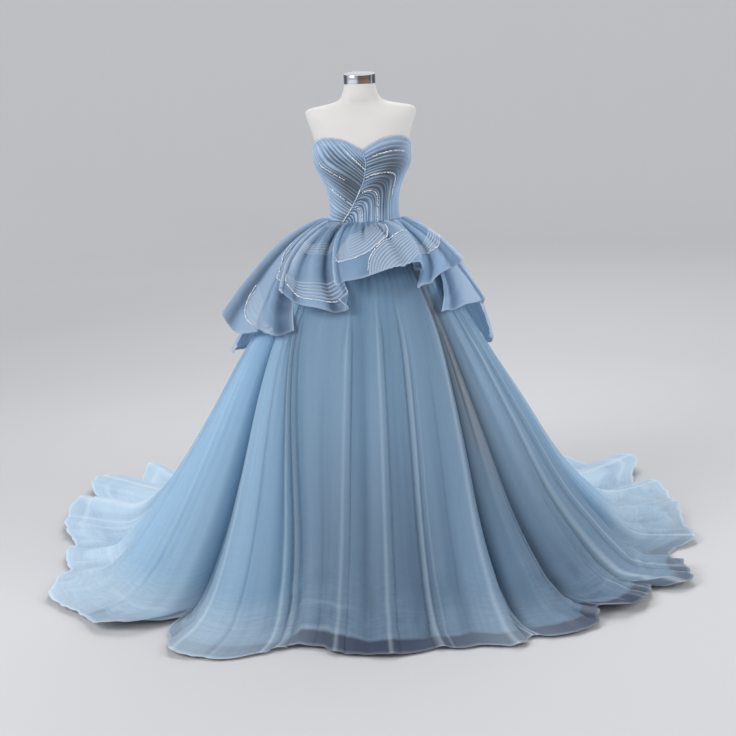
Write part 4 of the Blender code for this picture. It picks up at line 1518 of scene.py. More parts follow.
    def columns(self, folds: Array, layer: Layer) -> tuple[Array, Array]:
        """The cloth's columns of points, evenly spaced from the waist to the hem.

        Args:
            folds: The fold that each column follows.
            layer: Which layer.

        Returns:
            The points, as columns of levels, and each column's length.
        """
        folds = folds[:, None]
        depth = self.folds.read_round(1, folds)
        ridge = self.ridge_share * np.maximum(0, depth)
        hem = self.folds.read_round(2, folds)
        lift = np.maximum(0, self.folds.read_round(3, folds))
        down = np.linspace(0, 1, self.hanging_levels + 1)[None] ** 1.1
        heights = blend(SEAM_TOP, ridge, down)
        reach = self.hanging_reach(folds, heights, layer)
        touch = np.minimum(reach[:, -1:], hem - self.least_lying)
        reach[:, -1:] = touch
        out = np.linspace(0, 1, self.lying_levels + 1)[None, 1:]
        reach = np.concatenate([reach, blend(touch, hem, out)], 1)
        angle = np.concatenate([self.lean_angle(folds, heights), folds + 0 * out], 1)
        heights = np.concatenate([heights, blend(ridge, lift, out)], 1)
        steps = np.hypot(np.diff(reach, axis=1), np.diff(heights, axis=1))
        length = np.concatenate([np.zeros_like(folds), np.cumsum(steps, 1)], 1)
        total = length[:, -1]
        ends = total - self.hidden(layer)
        even = np.empty((len(folds), self.levels + 1, 3))
        for k, at in enumerate(np.linspace(0, ends, self.levels + 1, axis=1)):
            for part, values in enumerate((angle, reach, heights)):
                even[k, :, part] = np.interp(at, length[k], values[k])
        for _ in range(self.softening):
            even[:, 1:-1] = 0.5 * even[:, 1:-1] + 0.25 * (even[:, :-2] + even[:, 2:])
        return even, ends

    def surface(self, folds: Array, layer: Layer) -> tuple[Array, Marks]:
        """One layer all the way round.

        Args:
            folds: The fold that each column follows, from -180 up.
            layer: Which layer.

        Returns:
            The grid of points, and its marks.
        """
        even, ends = self.columns(folds, layer)
        along_it = np.linspace(0, 1, self.levels + 1)[None]
        drop = along_it * ends[:, None] / (ends[:, None] + self.hidden(layer))
        ripple = self.ripple(folds[:, None], drop)
        angle, reach, height = even[..., 0], even[..., 1] + ripple, even[..., 2]
        lying = soft_step((self.lying_height - height) / self.lying_height)
        height = height + CLOTH * drop + np.maximum(0, ripple) * lying * 0.9
        angle = self.broaden_crests(angle, reach, drop)
        grid = polar(angle, reach, height)
        if layer is Layer.NET:
            turn = (folds[:, None] + 180.0) / 360.0
            floats = 0.5 + 0.5 * lattice_noise(turn * 128, drop * 1.6, 41)
            out = (self.net_out + self.net_float * floats * drop) * soft_step(drop / 0.1)
            grid = grid + grid_normals(grid, wraps=True) * out[..., None]
        grid[..., 2] = np.maximum(grid[..., 2], self.rest[layer is Layer.NET])
        # painted shade: darker down the hollows, lighter on the crests
        depth = self.folds.read_round(1, folds)[:, None] / 0.07
        fold = np.clip(depth * drop**0.5 + ripple / 0.01, -1, 1)
        # painted light: pale on the lit side, darker where shade falls, and darker towards the hem
        # in front
        high, low = (self.painted_light_tones.read_round(k, folds)[:, None] for k in (1, 2))
        tone = blend(high, low, soft_step((drop - 0.35) / 0.5))
        away = (1 - along_it) * ends[:, None]
        edge = bell(away, self.line_width)
        pale = np.clip(tone, 0, 1)
        if layer is Layer.NET:
            faint = bell(away - self.tuck_height, self.line_width)
            upper = bell(away - self.sheer, self.line_width)
            # pale lines at the hem edge, a tuck and the lining's edge, paler where painted light
            # falls
            line = (0.2 + 0.4 * pale) * edge + 0.18 * faint + 0.45 * upper
            for at, width, strength in self.edges:
                line = line + strength * bell(folds[:, None] - at, width) * soft_step(drop / 0.3)
            # painted light on the lying train
            line = line + 0.5 * lying * pale
        else:
            # a pale lower edge, and painted light on the lying train
            line = 0.45 * pale * edge + 0.76 * lying * pale
        warm = bell(folds[:, None] - self.warm_fold, self.warm_width)
        warm = warm * soft_step(drop / 0.2) * soft_step((0.75 - drop) / 0.4)
        warm = np.maximum(warm, self.greyed * lying * pale)
        # painted shadow of the skirt's inside in the sheer hem, less where painted light falls
        band = soft_step((self.sheer - away) / 0.006) * (1 - 0.8 * tone)
        marks = {"fold": fold, "line": line, "tone": tone, "warm": warm, "band": band}
        marks["across"] = folds[:, None] * self.across_scale + 0 * drop
        marks["down"] = drop * self.down_scale
        return grid, marks

    def hidden(self, layer: Layer) -> float:
        """How much shorter than the net a layer is."""
        return self.sheer if layer is Layer.LINING else 0.0

    def build(self) -> None:
        """Makes both layers of every panel."""
        rows = self.folds.column(0)
        stretches = []
        for first, last in zip(rows, rows[1:] + [180.0]):
            count = next(panel[4] for panel in self.panels if panel[2] <= first < panel[3])
            stretches.append(np.linspace(first, last, count, endpoint=False))
        folds = np.concatenate(stretches)
        cloths = {Layer.LINING: self.lining.material(), Layer.NET: self.net.material()}
        for layer, cloth in cloths.items():
            grid, marks = self.surface(folds, layer)
            for node, tag, start, end, _, width, length, area in self.panels:
                first = int(np.argmin(abs(folds - start)))
                last = int(np.argmin(abs(folds - end))) if end < 180 else len(folds)
                numbers = np.arange(first, last + 1) % len(folds)
                parts = MeshParts()
                parts.grid(grid[numbers], marks_of(marks, numbers))
                piece = parts.make(f"{layer.value}_{tag}", cloth)
                place(piece, "skirt_tulle", [node] if layer is Layer.LINING else [])


@dataclass
class Underskirt:
    """The plain underskirt that stands inside every hollow of the skirt."""

    skirt: Skirt
    finish: LiningFinish = LiningFinish(
        "underskirt_cloth",
        Shades((0.24, 0.34, 0.45), (0.16, 0.24, 0.34), (0.17, 0.25, 0.34), (0.1, 0.16, 0.23)),
    )
    top: float = 1.0031
    hem: float = 0.03
    columns: int = 160
    levels: int = 60
    look: Pair = (4.0, 10.0)
    clear: Pair = (0.0045, 0.031)
    fall: float = 0.2
    cut: Pair = (2.35, 1.25)
    area: float = 1.75

    def build(self) -> None:
        """Makes both halves."""
        cloth = self.finish.material()
        angles = np.linspace(-180, 180, self.columns, endpoint=False)
        heights = np.linspace(self.top, self.hem, self.levels + 1)
        fall = soft_step((self.top - heights) / self.fall)
        look = blend(self.look[0], self.look[1], fall)
        folds = np.arange(-180, 180, 1.0)[:, None]
        places = self.skirt.lean_angle(folds, heights)
        reaches = self.skirt.hanging_reach(folds, heights, Layer.LINING)
        near = abs((places - angles[:, None, None] + 180) % 360 - 180) <= look
        reach = np.where(near, reaches, np.inf).min(1)
        reach = reach - blend(self.clear[0], self.clear[1], fall)
        grid = polar(angles[:, None], reach, heights[None])
        away = np.abs(heights - self.hem)[None] * np.ones((self.columns, 1))
        marks = {"fold": 0.0 * away, "line": bell(away, 0.003), "tone": 0.6 + 0.0 * away}
        marks["across"] = np.radians(angles)[:, None] + 0.0 * away
        marks["down"] = away
        quarter, half = self.columns // 4, self.columns // 2
        halves = (("front", "front", quarter), ("back", "train_left", quarter + half))
        for side, panel, first in halves:
            numbers = np.arange(first, first + half + 1) % self.columns
            parts = MeshParts()
            parts.grid(grid[numbers], marks_of(marks, numbers))
            piece = parts.make("inner_skirt_" + side, cloth)
            place(piece, "underskirt_cloth", ["underskirt_" + side])
            rests = ["lining_" + panel]


# --- The peplum ---


@dataclass(frozen=True)
class Crescent:
    """A crescent of fine ribs with beads along its outer edge, on one flounce.

    Places are shares of the flounce: across it from 0 to 1, and down from 0 to 1.
    """

    middle: Pair
    radius: float  # metres
    start: float  # degrees, 0 across and 90 down
    end: float
    width: float  # metres, at its widest
    beaded: bool = True


@dataclass(frozen=True)
class Fold:
    """A soft ridge from the waist to the hem, or a trough where its height is negative."""

    at_waist: float  # shares of the way across
    at_hem: float
    width: float  # metres, at the hem
    height: float  # metres
    start: float = -0.2  # shares of the way down
    end: float = 1.3
    # pale: painted light that lifts the cloth along the fold, where it is free of ribs
    pale: float = 0.0  # how much paler its cloth is, and free of ribs

    def share(self, across: Array, down: Array, width: float) -> Array:
        """How much of it each point of a flounce of this width has.

        Args:
            across: Share of the way across for each point.
            down: Share of the way down.
            width: The flounce's width.

        Returns:
            From 0 beside the fold to 1 on it.
        """
        away = (across - blend(self.at_waist, self.at_hem, down)) * width
        ends = soft_step((down - self.start) / 0.25) * soft_step((self.end - down) / 0.25)
        return bell(away, self.width * blend(0.45, 1.0, down)) * ends


@dataclass(frozen=True)
class Turn:
    """A line at which an edge or a corner rolls over, or under where its radius is negative.

    Places are shares of the flounce. What is on the right of the way from the first place to
    the second, as seen on the flat cloth with its waist up, rolls.
    """

    start: Pair
    end: Pair
    radius: float  # metres

    def roll(self, places: Array, size: Pair) -> tuple[Array, Array, Array]:
        """Where each point of the flat cloth goes.

        Args:
            places: Shares across and down for each point.
            size: The flounce's width and length.

        Returns:
            The new places, how far each one rises from the cloth and its share of the turn.
        """
        flat = places * size
        first, last = np.array(self.start) * size, np.array(self.end) * size
        way = unit(last - first)
        side = np.array((-way[1], way[0]))
        beyond = np.maximum((flat - first) @ side, 0.0)
        radius = abs(self.radius)
        turned = np.minimum(beyond / radius, np.pi)
        reach = radius * np.sin(turned) - np.maximum(beyond - np.pi * radius, 0.0)
        moved = flat + side * (reach - beyond)[..., None]
        return moved / size, np.sign(self.radius) * radius * (1 - np.cos(turned)), turned / np.pi


@dataclass(frozen=True)
class Flounce:
    """One flounce of organza.

    Rows hold: angle at the waist, angle at the hem, reach, height, height of the belly and,
    where it isn't the usual one, the belly as a share of the reach.
    """

    tag: str
    nodes: tuple[str, ...]
    cut: Pair
    area: float
    rows: Rows
    crescents: tuple[Crescent, ...] = ()
    folds: tuple[Fold, ...] = ()
    turns: tuple[Turn, ...] = ()
    spacing: float = 0.0023
    # tone: the painted light on the whole flounce
    tone: float = 0.45


FLOUNCES = (
    Flounce(
        "front_centre", ("peplum_front_centre",), (0.42, 0.34), 0.09,
        (
            (-34, -19, 0.296, 0.927, 1.084), (-28, -15, 0.305, 0.943, 1.09),
            (-20, -6, 0.315, 0.955, 1.09), (-6, 3, 0.32, 0.97, 1.085),
            (10, 10.5, 0.325, 0.984, 1.09), (28, 22.5, 0.327, 0.999, 1.092),
            (42, 29.5, 0.32, 0.996, 1.088), (52, 35, 0.3, 0.945, 1.07),
            (59, 29, 0.262, 0.922, 1.052),
        ),
        (
            Crescent((1.36, 0.05), 0.205, 112, 190, 0.085, False),
            Crescent((1.1, 1.5), 0.25, -170, -72, 0.115),
            Crescent((-0.06, -0.06), 0.215, 8, 80, 0.09),
        ),
        (
            Fold(0.03, 0.02, 0.009, 0.007, pale=0.5), Fold(0.13, 0.09, 0.01, -0.005),
            Fold(0.3, 0.24, 0.02, 0.004, 0, 0.9), Fold(0.42, 0.36, 0.01, -0.006, 0, 0.6),
            Fold(0.56, 0.6, 0.01, -0.009, 0, 1.2), Fold(0.7, 0.78, 0.022, 0.005),
            Fold(0.84, 0.9, 0.01, -0.008, 0.3, 1.3), Fold(0.94, 0.97, 0.012, 0.008, pale=0.5),
        ),
        (Turn((0.78, 0.99), (1.01, 0.8), -0.008), Turn((0, 0.97), (0.8, 0.97), -0.004)),
        tone=0.66,
    ),
    Flounce(
        "front_left", ("peplum_front_left",), (0.34, 0.36), 0.075,
        (
            (-75, -51, 0.345, 0.912, 1.068), (-70, -47.5, 0.355, 0.901, 1.066),
            (-63, -41, 0.355, 0.885, 1.062), (-56, -34, 0.35, 0.869, 1.056),
            (-48, -24, 0.328, 0.857, 1.05), (-41, -13, 0.298, 0.848, 1.044),
            (-35, -7, 0.278, 0.862, 1.04),
        ),
        (
            Crescent((0.36, -0.42), 0.175, 40, 112, 0.06),
            Crescent((0.3, 0.02), 0.165, 24, 112, 0.046, False),
            Crescent((0.44, 0.34), 0.185, 22, 112, 0.062),
        ),
        (
            Fold(0.04, 0.03, 0.01, 0.011, pale=0.9), Fold(0.14, 0.11, 0.008, -0.007, pale=0.3),
            Fold(0.26, 0.2, 0.018, 0.006, 0, 0.9, pale=0.5),
            Fold(0.4, 0.38, 0.01, -0.005, 0.2, 1.3), Fold(0.58, 0.6, 0.018, 0.006),
            Fold(0.72, 0.76, 0.009, -0.01), Fold(0.88, 0.9, 0.012, 0.006),
        ),
        (Turn((0.78, 1), (1.01, 0.82), 0.006), Turn((0, 0.965), (0.8, 0.965), -0.005)),
        tone=0.34,
    ),
    Flounce(
        "left", ("peplum_left",), (0.62, 0.46), 0.185,
        (
            (-75.6, -44, 0.335, 0.786, 1.03), (-79, -49, 0.396, 0.774, 1.045),
            (-82, -54.5, 0.404, 0.777, 1.06), (-85, -60, 0.402, 0.782, 1.07),
            (-88, -66, 0.392, 0.762, 1.075), (-91, -74, 0.436, 0.752, 1.084),
            (-95, -83, 0.47, 0.772, 1.09), (-99, -90, 0.486, 0.794, 1.092),
            (-103, -97, 0.468, 0.752, 1.088), (-107.4, -105, 0.462, 0.708, 1.08),
        ),
        (
            Crescent((0.02, 0.34), 0.15, 16, 90, 0.06), Crescent((0.16, 0.7), 0.13, 8, 100, 0.05),
            Crescent((0.86, 0.3), 0.33, 150, 184, 0.03),
        ),
        (
            Fold(0.08, 0.06, 0.012, -0.006), Fold(0.2, 0.21, 0.022, 0.006),
            Fold(0.33, 0.34, 0.018, -0.006, -0.2, 0.95), Fold(0.47, 0.5, 0.036, 0.008, pale=0.2),
            Fold(0.62, 0.68, 0.022, -0.009), Fold(0.76, 0.82, 0.03, 0.007, pale=0.2),
            Fold(0.87, 0.91, 0.01, -0.009, 0, 1.3), Fold(0.95, 0.97, 0.014, 0.01, pale=0.9),
        ),
        (Turn((0, 0.975), (1, 0.975), -0.005),),
        spacing=0.0036,
        tone=0.28,
    ),
    Flounce(
        "right", ("peplum_right",), (0.34, 0.34), 0.062,
        (
            (60, 30, 0.3, 0.908, 1.034), (64, 36, 0.33, 0.935, 1.05),
            (69, 47, 0.322, 0.948, 1.062), (74, 59, 0.318, 0.955, 1.074),
            (79, 71, 0.322, 0.96, 1.084), (83.5, 82, 0.322, 0.955, 1.088),
        ),
        (Crescent((0.46, -0.2), 0.215, 50, 118, 0.056),),
        (
            Fold(0.05, 0.05, 0.01, 0.006), Fold(0.18, 0.16, 0.01, -0.006),
            Fold(0.4, 0.38, 0.024, 0.005), Fold(0.6, 0.62, 0.012, -0.005),
            Fold(0.84, 0.86, 0.008, -0.008), Fold(0.94, 0.95, 0.011, 0.009, pale=0.9),
        ),
        (Turn((0, 0.96), (1, 0.96), -0.005),),
        tone=0.78,
    ),
    Flounce(
        "right_lower", ("peplum_right_lower",), (0.4, 0.3), 0.078,
        (
            (84.4, 42, 0.334, 0.827, 1.01), (86, 50, 0.338, 0.824, 1.022),
            (88, 60, 0.346, 0.826, 1.036), (90.5, 71, 0.362, 0.822, 1.05),
            (93, 80, 0.38, 0.818, 1.062), (95, 87, 0.392, 0.815, 1.072),
            (97, 94, 0.388, 0.79, 1.066),
        ),
        (Crescent((0.34, 1.75), 0.25, -112, -62, 0.04),),
        (
            Fold(0.08, 0.07, 0.014, 0.006), Fold(0.25, 0.22, 0.012, -0.008),
            Fold(0.46, 0.5, 0.032, 0.007, pale=0.4), Fold(0.72, 0.76, 0.012, -0.009),
            Fold(0.93, 0.94, 0.014, 0.008, pale=0.8),
        ),
        (Turn((0, 0.965), (1, 0.965), -0.005),),
        spacing=0.003,
        tone=1.0,
    ),
    Flounce(
        "back", ("peplum_back_right", "peplum_back_left"), (1.6, 0.62), 0.7,
        (
            (97.6, 100, 0.415, 0.7, 1.03, 0.66), (102, 104, 0.432, 0.668, 1.03, 0.72),
            (109, 110, 0.442, 0.642, 1.03, 0.7), (119, 120, 0.448, 0.66, 1.025, 0.56),
            (131, 132, 0.5, 0.65, 1.045, 0.6), (143, 143.5, 0.45, 0.662, 1.025, 0.56),
            (155, 155, 0.505, 0.648, 1.045, 0.6), (167, 167, 0.455, 0.66, 1.025, 0.56),
            (180, 180, 0.49, 0.652, 1.04, 0.6), (192, 193, 0.456, 0.66, 1.025, 0.56),
            (203, 204, 0.503, 0.648, 1.045, 0.6), (214, 215, 0.458, 0.662, 1.025, 0.56),
            (225, 227, 0.5, 0.65, 1.04, 0.6), (235, 240, 0.462, 0.66, 1.015, 0.56),
            (244, 252, 0.47, 0.655, 1.005, 0.52), (249, 261, 0.478, 0.66, 0.998, 0.48),
            (251.8, 266, 0.45, 0.69, 0.99, 0.44),
        ),
        (),
        (Fold(0, 0, 0.26, 0, pale=0.9), Fold(1, 1, 0.26, 0, pale=0.9))
        + tuple(
            Fold(k / 22 + 0.012 * math.sin(5 * k), k / 22, 0.016, 0.0075 * (-1) ** k)
            for k in range(1, 22)
        ),
        (Turn((0, 0.985), (1, 0.985), -0.006),),
        spacing=0.0056,
        tone=0.8,
    ),
)


@dataclass
class Peplum:
    """The flounces of organza round the waist."""

    form: DressForm
    beading: Beading
    finish: OrganzaFinish = OrganzaFinish()
    belly: float = 0.42
    thick: float = 0.001
    roll: float = 0.001
    rib_spacing: float = 0.0102
    rib_height: float = 0.0024
    gathers: float = 0.0022
    gather_width: float = 0.019
    crumple: float = 0.003
    sag: float = 0.003  # how far a flounce strays near its hem
    edge_line: float = 0.003
    tube_step: float = 0.006
    bead_lift: float = 0.0022
    bead_top: float = 0.2  # no beads nearer to the waist, where the cloth is gathered

    def grid(self, flounce: Flounce, across: int, down: int) -> Array:
        """A flounce's outer face: each line leaves the waist, bellies out and falls.

        Args:
            flounce: Which flounce.
            across: Points across it.
            down: Points down it.

        Returns:
            The points.
        """
        whole = [(float(k), *row, self.belly)[:7] for k, row in enumerate(flounce.rows)]
        rows = Table(tuple(whole))
        at = np.linspace(0, len(flounce.rows) - 1, across)
        waist_angle, hem_angle, reach, height, belly_height, belly = (
            rows.read(number, at)[:, None] for number in range(1, 7)
        )
        start = np.linalg.norm(self.form.point(waist_angle, WAIST, PEPLUM_OUT)[..., :2], axis=-1)
        w = np.linspace(0, 1, down)[None]
        first, middle, last = (1 - w) ** 2, 2 * w * (1 - w), w**2
        return polar(
            blend(waist_angle, hem_angle, last),
            first * start + middle * blend(start, reach, belly) + last * reach,
            first * SEAM_TOP + middle * belly_height + last * height,
        )

    def _ribs(
        self, crescent: Crescent, across: Array, down: Array, size: Pair
    ) -> tuple[Array, Array]:
        """A crescent's ribs on a flounce.

        Args:
            crescent: The crescent.
            across: Share of the way across for each point.
            down: Share of the way down.
            size: The flounce's width and length.

        Returns:
            Height of the ribs, and how much each point is inside, both 0 to 1.
        """
        x = (across - crescent.middle[0]) * size[0]
        y = (down - crescent.middle[1]) * size[1]
        turn = np.degrees(np.arctan2(y, x))
        share = ((turn - crescent.start) % 360.0) / (crescent.end - crescent.start)
        taper = np.sin(np.pi * np.clip(share, 0, 1)) ** 0.7
        from_line = (np.hypot(x, y) - crescent.radius) / crescent.width
        inside = soft_step((1 - abs(from_line) * 2 / np.maximum(taper, 1e-3)) / 0.12)
        inside = inside * (share < 1)
        ribs = crescent.width / self.rib_spacing
        wave = 0.5 + 0.5 * np.cos(2 * np.pi * from_line / np.maximum(taper, 0.25) * ribs)
        return wave**2 * inside, inside

    def _bead_path(self, crescent: Crescent, outer: Array, size: Pair) -> Array:
        """The line of beads along a crescent's outer edge, on the flounce's face.

        Args:
            crescent: The crescent.
            outer: The flounce's outer face.
            size: The flounce's width and length.

        Returns:
            The points of the line.
        """
        share = np.linspace(0.02, 0.98, 90)
        turn = np.radians(blend(crescent.start, crescent.end, share))
        radius = crescent.radius + 0.5 * crescent.width * np.sin(np.pi * share) ** 0.7
        u = crescent.middle[0] + radius * np.cos(turn) / size[0]
        v = crescent.middle[1] + radius * np.sin(turn) / size[1]
        kept = (u > 0.02) & (u < 0.98) & (v > self.bead_top) & (v < 0.95)
        face = outer + self._outward(outer) * self.bead_lift
        path = read_grid(face, u[kept], v[kept])
        for _ in range(6):
            path[1:-1] = 0.5 * path[1:-1] + 0.25 * (path[:-2] + path[2:])
        return path

    def _turned(self, turn: Turn, outer: Array, places: Array, size: Pair) -> tuple[Array, Array]:
        """Rolls an edge or a corner of a flounce.

        Args:
            turn: Where and how it rolls.
            outer: The flounce's outer face.
            places: Shares across and down for each point.
            size: The flounce's width and length.

        Returns:
            The new outer face, and how far round each point has turned, 0 to 1.
        """
        normal = self._outward(outer)
        moved, rise, turned = turn.roll(places, size)
        u, v = moved[..., 0].ravel(), moved[..., 1].ravel()
        there = read_grid(outer, np.clip(u, 0, 1), np.clip(v, 0, 1)).reshape(outer.shape)
        up = read_grid(normal, np.clip(u, 0, 1), np.clip(v, 0, 1)).reshape(outer.shape)
        return there + up * rise[..., None], turned

    @staticmethod
    def _outward(outer: Array) -> Array:
        """A flounce's normals, away from the skirt."""
        normal = grid_normals(outer)
        return -normal if normal[..., 2].mean() < 0 else normal

    def _make(self, flounce: Flounce, cloth: Material) -> None:
        """Makes one flounce with its ribs, rolled edges and beads.

        Args:
            flounce: Which flounce.
            cloth: Its material.
        """
        rough = self.grid(flounce, 40, 20)
        width = np.linalg.norm(np.diff(rough[:, 12], axis=0), axis=1).sum()
        length = np.linalg.norm(np.diff(rough[20], axis=0), axis=1).sum()
        size = (float(width), float(length))
        across, down = int(width / flounce.spacing) + 1, int(length / flounce.spacing) + 1
        outer = self.grid(flounce, across, down)
        u = np.linspace(0, 1, across)[:, None] * np.ones((1, down))
        v = np.linspace(0, 1, down)[None] * np.ones((across, 1))
        rib, line = np.zeros_like(u), np.zeros_like(u)
        for crescent in flounce.crescents:
            height, inside = self._ribs(crescent, u, v, size)
            rib = rib * (1 - inside) + height
            line = np.maximum(line, inside)
        pale, wave = np.zeros_like(u), np.zeros_like(u)
        for bend in flounce.folds:
            share = bend.share(u, v, size[0])
            wave = wave + bend.height * share
            pale = np.maximum(pale, bend.pale * share)
        seed = len(flounce.tag)
        x, y = u * size[0], v * size[1]
        wave = wave + self.sag * v * lattice_noise(x / 0.07, y / 0.11, seed)
        slanted = lattice_noise((x + y) / 0.03, (x - y) / 0.075, seed + 20)
        wave = wave + self.crumple * v * (0.25 - np.abs(slanted)) * (1 - 0.7 * line)
        gather = np.sin(2 * np.pi * x / self.gather_width + 4 * np.sin(9 * u))
        gather = gather * self.gathers * bell(v - 0.1, 0.16)
        rib = rib * (1 - np.clip(pale * 1.2, 0, 1))
        move = rib * self.rib_height + (wave + gather) * soft_step(v / 0.05)
        outer = outer + self._outward(outer) * move[..., None]
        beaded = (crescent for crescent in flounce.crescents if crescent.beaded)
        beads = [self._bead_path(crescent, outer, size) for crescent in beaded]
        turned = np.zeros_like(u)
        for turn in flounce.turns:
            outer, share = self._turned(turn, outer, np.stack([u, v], -1), size)
            turned = np.maximum(turned, share)
        inner = outer - self._outward(outer) * self.thick
        edge = np.minimum(np.minimum(u, 1 - u) * size[0], (1 - v) * size[1])
        # painted shade: darker in troughs, lighter on ribs and crests
        fold = np.clip(rib * 1.3 - 0.4 * line + (wave + gather) / 0.01, -1, 1)
        # pale marks: rolled edges and ribs, partly doubled organza and partly painted highlight
        # that grows with the flounce's painted light; painted light on the pale folds; a painted
        # highlight where the cloth turns
        light = 0.7 * bell(edge, self.edge_line) + (0.25 + 0.5 * flounce.tone) * rib + 0.85 * pale
        light = light + 0.24 * flounce.tone * line
        light = light + 0.35 * bell(turned - 0.35, 0.25)
        # the flounce's painted light, a little less in the ribbed crescents, with painted shade on
        # cloth rolled most of the way over
        tone = flounce.tone - 0.1 * line - 0.3 * (turned > 0.7)
        marks = {"fold": fold, "line": light, "tone": tone, "across": x, "down": y}
        whole = [("", slice(0, across))]
        if len(flounce.nodes) == 2:
            middle = int(np.argmin(abs(outer[:, 0, 0]) - 1e-3 * outer[:, 0, 1]))
            whole = [("_right", slice(0, middle + 1)), ("_left", slice(middle, across))]
        for (side, half), node in zip(whole, flounce.nodes):
            parts = MeshParts()
            parts.wall(outer[half], inner[half], marks_of(marks, half))
            face = 0.5 * (outer[half] + inner[half])
            edges = (face[:, -1],) if side else (face[0], face[:, -1], face[-1])
            for path in edges:
                rolled = {"fold": 0.6, "line": 0.9, "tone": flounce.tone}
                parts.tube(along(path, self.tube_step), self.roll, 6, rolled)
            piece = parts.make(f"flounce_{flounce.tag}{side}", cloth)
            place(piece, "peplum_organza", [node])
            share = 1.0 / len(flounce.nodes)
            flat, area = (flounce.cut[0] * share, flounce.cut[1]), flounce.area * share
        for path in beads:
            self.beading.line(path)

    def build(self) -> None:
        """Makes every flounce."""
        cloth = self.finish.material()
        for flounce in FLOUNCES:
            self._make(flounce, cloth)


# --- Beading ---


@dataclass
class Beading:
    """Lines of silver beads, collected from the bodice and the peplum."""

    parts: MeshParts = field(default_factory=MeshParts)
    finish: BeadFinish = BeadFinish()
    spacing: float = 0.0032
    large: float = 0.0024
    small: float = 0.0013
    half_width: float = 0.0012
    missing_share: float = 0.1
    loose_share: float = 0.22  # of the beads, sewn beside the line
    loose_spread: float = 0.005
    loose_radius: float = 0.001
    stand: float = 0.0014  # how far the beads' middles stand out of the cloth
    turn_limit: float = 62.0  # degrees; no line goes further round the bodice
    seam_start: float = 0.52  # the seam has beads from this share of its length down
    seed: int = 3
    count: int = 0

    def line(self, path: Array) -> None:
        """Sews an uneven row of beads along a path, with a few loose ones beside it.

        Args:
            path: The points of its line.
        """
        if len(path) < 2:
            return
        draw = np.random.default_rng(self.seed + self.count)
        centres = along(path, self.spacing)
        way = unit(np.gradient(centres, axis=0))
        side = unit(np.cross(way, unit(centres * (1.0, 1.0, 0.0))))
        there = draw.random(len(centres)) > self.missing_share
        radii = draw.uniform(self.small, self.large, there.sum())
        stray = draw.uniform(-1, 1, (there.sum(), 1)) * self.half_width
        self.parts.beads(centres[there] + side[there] * stray, radii)
        loose = draw.random(len(centres)) < self.loose_share
        away = draw.uniform(-1, 1, (loose.sum(), 1)) * self.loose_spread
        radii = np.full(loose.sum(), self.loose_radius)
        self.parts.beads(centres[loose] + side[loose] * away, radii)
        self.count += int(there.sum()) + int(loose.sum())

    def bodice(self, faces: Marks) -> None:
        """Strings beads along some of the bodice's pleats.

        Args:
            faces: The outer points of each front panel, across its pleats and along them.
        """
        lines = {
            "left": ((0.2, 0.45, 1.0), (0.47, 0.1, 0.75), (0.7, 0.3, 1.0)),
            "right": ((0.13, 0.06, 0.6), (0.36, 0.02, 0.7), (0.58, 0.1, 1.0), (0.8, 0.25, 1.0)),
        }
        for side, rows in lines.items():
            face = faces[side]
            for share, start, end in rows:
                pleat = int(round(share * (face.shape[0] - 1)))
                first, last = (int(round(s * (face.shape[1] - 1))) for s in (start, end))
                path = face[pleat, first : last + 1]
                angle = np.degrees(np.arctan2(path[:, 0], -path[:, 1]))
                path = path[np.abs(angle) < self.turn_limit]
                self.line(path + unit(path * (1.0, 1.0, 0.0)) * self.stand)
        seam = faces["seam"]
        path = seam[int(self.seam_start * len(seam)) :]
        self.line(path + unit(path * (1.0, 1.0, 0.0)) * 2 * self.stand)

    def build(self) -> None:
        """Joins all the beads into one piece."""
        beads = self.parts.make("bead_lines", self.finish.material())
        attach(beads, "root")
        log.info("%d beads", self.count)


# --- Studio ---


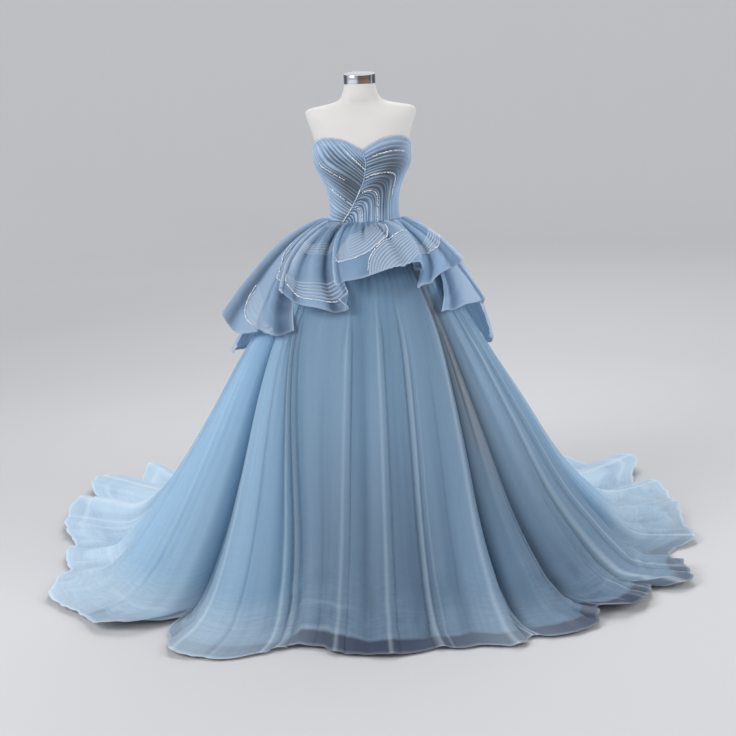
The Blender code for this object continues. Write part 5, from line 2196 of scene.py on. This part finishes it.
@dataclass
class Studio:
    """The floor, the lights and the camera."""

    lens: float = 63.59
    camera_at: Triple = (-0.008, -4.2, 1.61)
    camera_pitch: float = 13.46
    camera_roll: float = 2.2
    floor_radius: float = 7.0
    floor_curve: float = 2.5
    wall_height: float = 5.0
    sky: Colour = (0.84, 0.86, 0.9)
    sky_strength: float = 0.26
    # name, where it is, where it looks, side, watts, colour
    lights: tuple[tuple[object, ...], ...] = (
        ("key", (-4.2, -2.8, 3.6), (0.0, 0.0, 0.7), 2.6, 205.0, (0.97, 0.985, 1.0)),
        ("front", (0.8, -4.6, 3.0), (0.0, 0.0, 0.7), 1.8, 32.0, (1.0, 0.995, 0.98)),
        ("fill", (4.4, -2.0, 2.6), (0.0, 0.0, 0.6), 2.4, 105.0, (0.98, 0.99, 1.0)),
        ("top", (0.2, 1.6, 4.2), (0.0, 0.4, 0.0), 3.0, 95.0, (0.98, 0.99, 1.0)),
        ("rim", (1.5, 4.5, 3.8), (0.0, 0.0, 0.8), 2.4, 50.0, (1.0, 1.0, 1.0)),
    )

    def build(self) -> None:
        """Makes the whole studio."""
        self._camera()
        self._floor()
        self._world()
        bpy.context.scene.view_settings.view_transform = "Standard"
        for light in self.lights:
            self._light(*light)

    def _camera(self) -> None:
        """The camera, in front, a little above the bodice and looking down."""
        data = bpy.data.cameras.new("camera")
        data.lens, data.sensor_width = self.lens, 36.0
        camera = bpy.data.objects.new("camera", data)
        pitch = Matrix.Rotation(math.radians(90 - self.camera_pitch), 4, "X")
        roll = Matrix.Rotation(math.radians(-self.camera_roll), 4, "Z")
        camera.matrix_world = Matrix.Translation(self.camera_at) @ pitch @ roll
        bpy.context.scene.collection.objects.link(camera)
        bpy.context.scene.camera = camera

    def _floor(self) -> None:
        """A round floor that curves up into a plain wall all the way round."""
        turn = np.linspace(0, 2 * math.pi, 145)[:, None]
        bend = np.linspace(0, math.pi / 2, 17)[1:]
        flat = np.array([0.0, 1.5, 3.0, 4.5, 6.0, self.floor_radius])
        reach = np.concatenate([flat, flat[-1] + self.floor_curve * np.sin(bend), [0.0]])
        reach[-1] = reach[-2]
        rise = np.concatenate([0 * flat, self.floor_curve * (1 - np.cos(bend)), [self.wall_height]])
        rise = rise[None] - 0.0005
        parts = MeshParts()
        sides = (reach[None] * np.sin(turn), -reach[None] * np.cos(turn), rise + 0 * turn)
        far = soft_step((reach - 2.5) / (self.floor_radius - 2.5)) + 0 * turn
        parts.grid(np.stack(sides, -1), {"wall": far}, flip=True)
        floor = parts.make("floor", FloorFinish().material())

    def _world(self) -> None:
        """Even light from all round."""
        world = bpy.data.worlds.new("studio")
        world.use_nodes = True
        background = world.node_tree.nodes["Background"]
        background.inputs["Color"].default_value = (*self.sky, 1.0)
        background.inputs["Strength"].default_value = self.sky_strength
        bpy.context.scene.world = world

    def _light(
        self, name: str, at: Triple, to: Triple, size: float, power: float, colour: Colour
    ) -> None:
        """A square soft light.

        Args:
            name: Its name.
            at: Where it is.
            to: Where it looks.
            size: Its side.
            power: Its power in watts.
            colour: Its colour.
        """
        data = bpy.data.lights.new(name, "AREA")
        data.shape, data.size, data.energy, data.color = "SQUARE", size, power, colour
        light = bpy.data.objects.new(name, data)
        light.visible_glossy = name == "key"
        way = Vector(at) - Vector(to)
        turned = way.to_track_quat("Z", "Y").to_matrix().to_4x4()
        light.matrix_world = Matrix.Translation(at) @ turned
        bpy.context.scene.collection.objects.link(light)


def main() -> None:
    """Builds the form, the gown and the studio in order."""
    logging.basicConfig(level=logging.INFO, format="%(name)s: %(message)s")
    Studio().build()
    form = DressForm()
    form.build()
    beading = Beading()
    beading.bodice(Bodice(form).build())
    skirt = Skirt(form)
    skirt.build()
    Underskirt(skirt).build()
    Peplum(form, beading).build()
    beading.build()


if __name__ == "__main__":
    main()
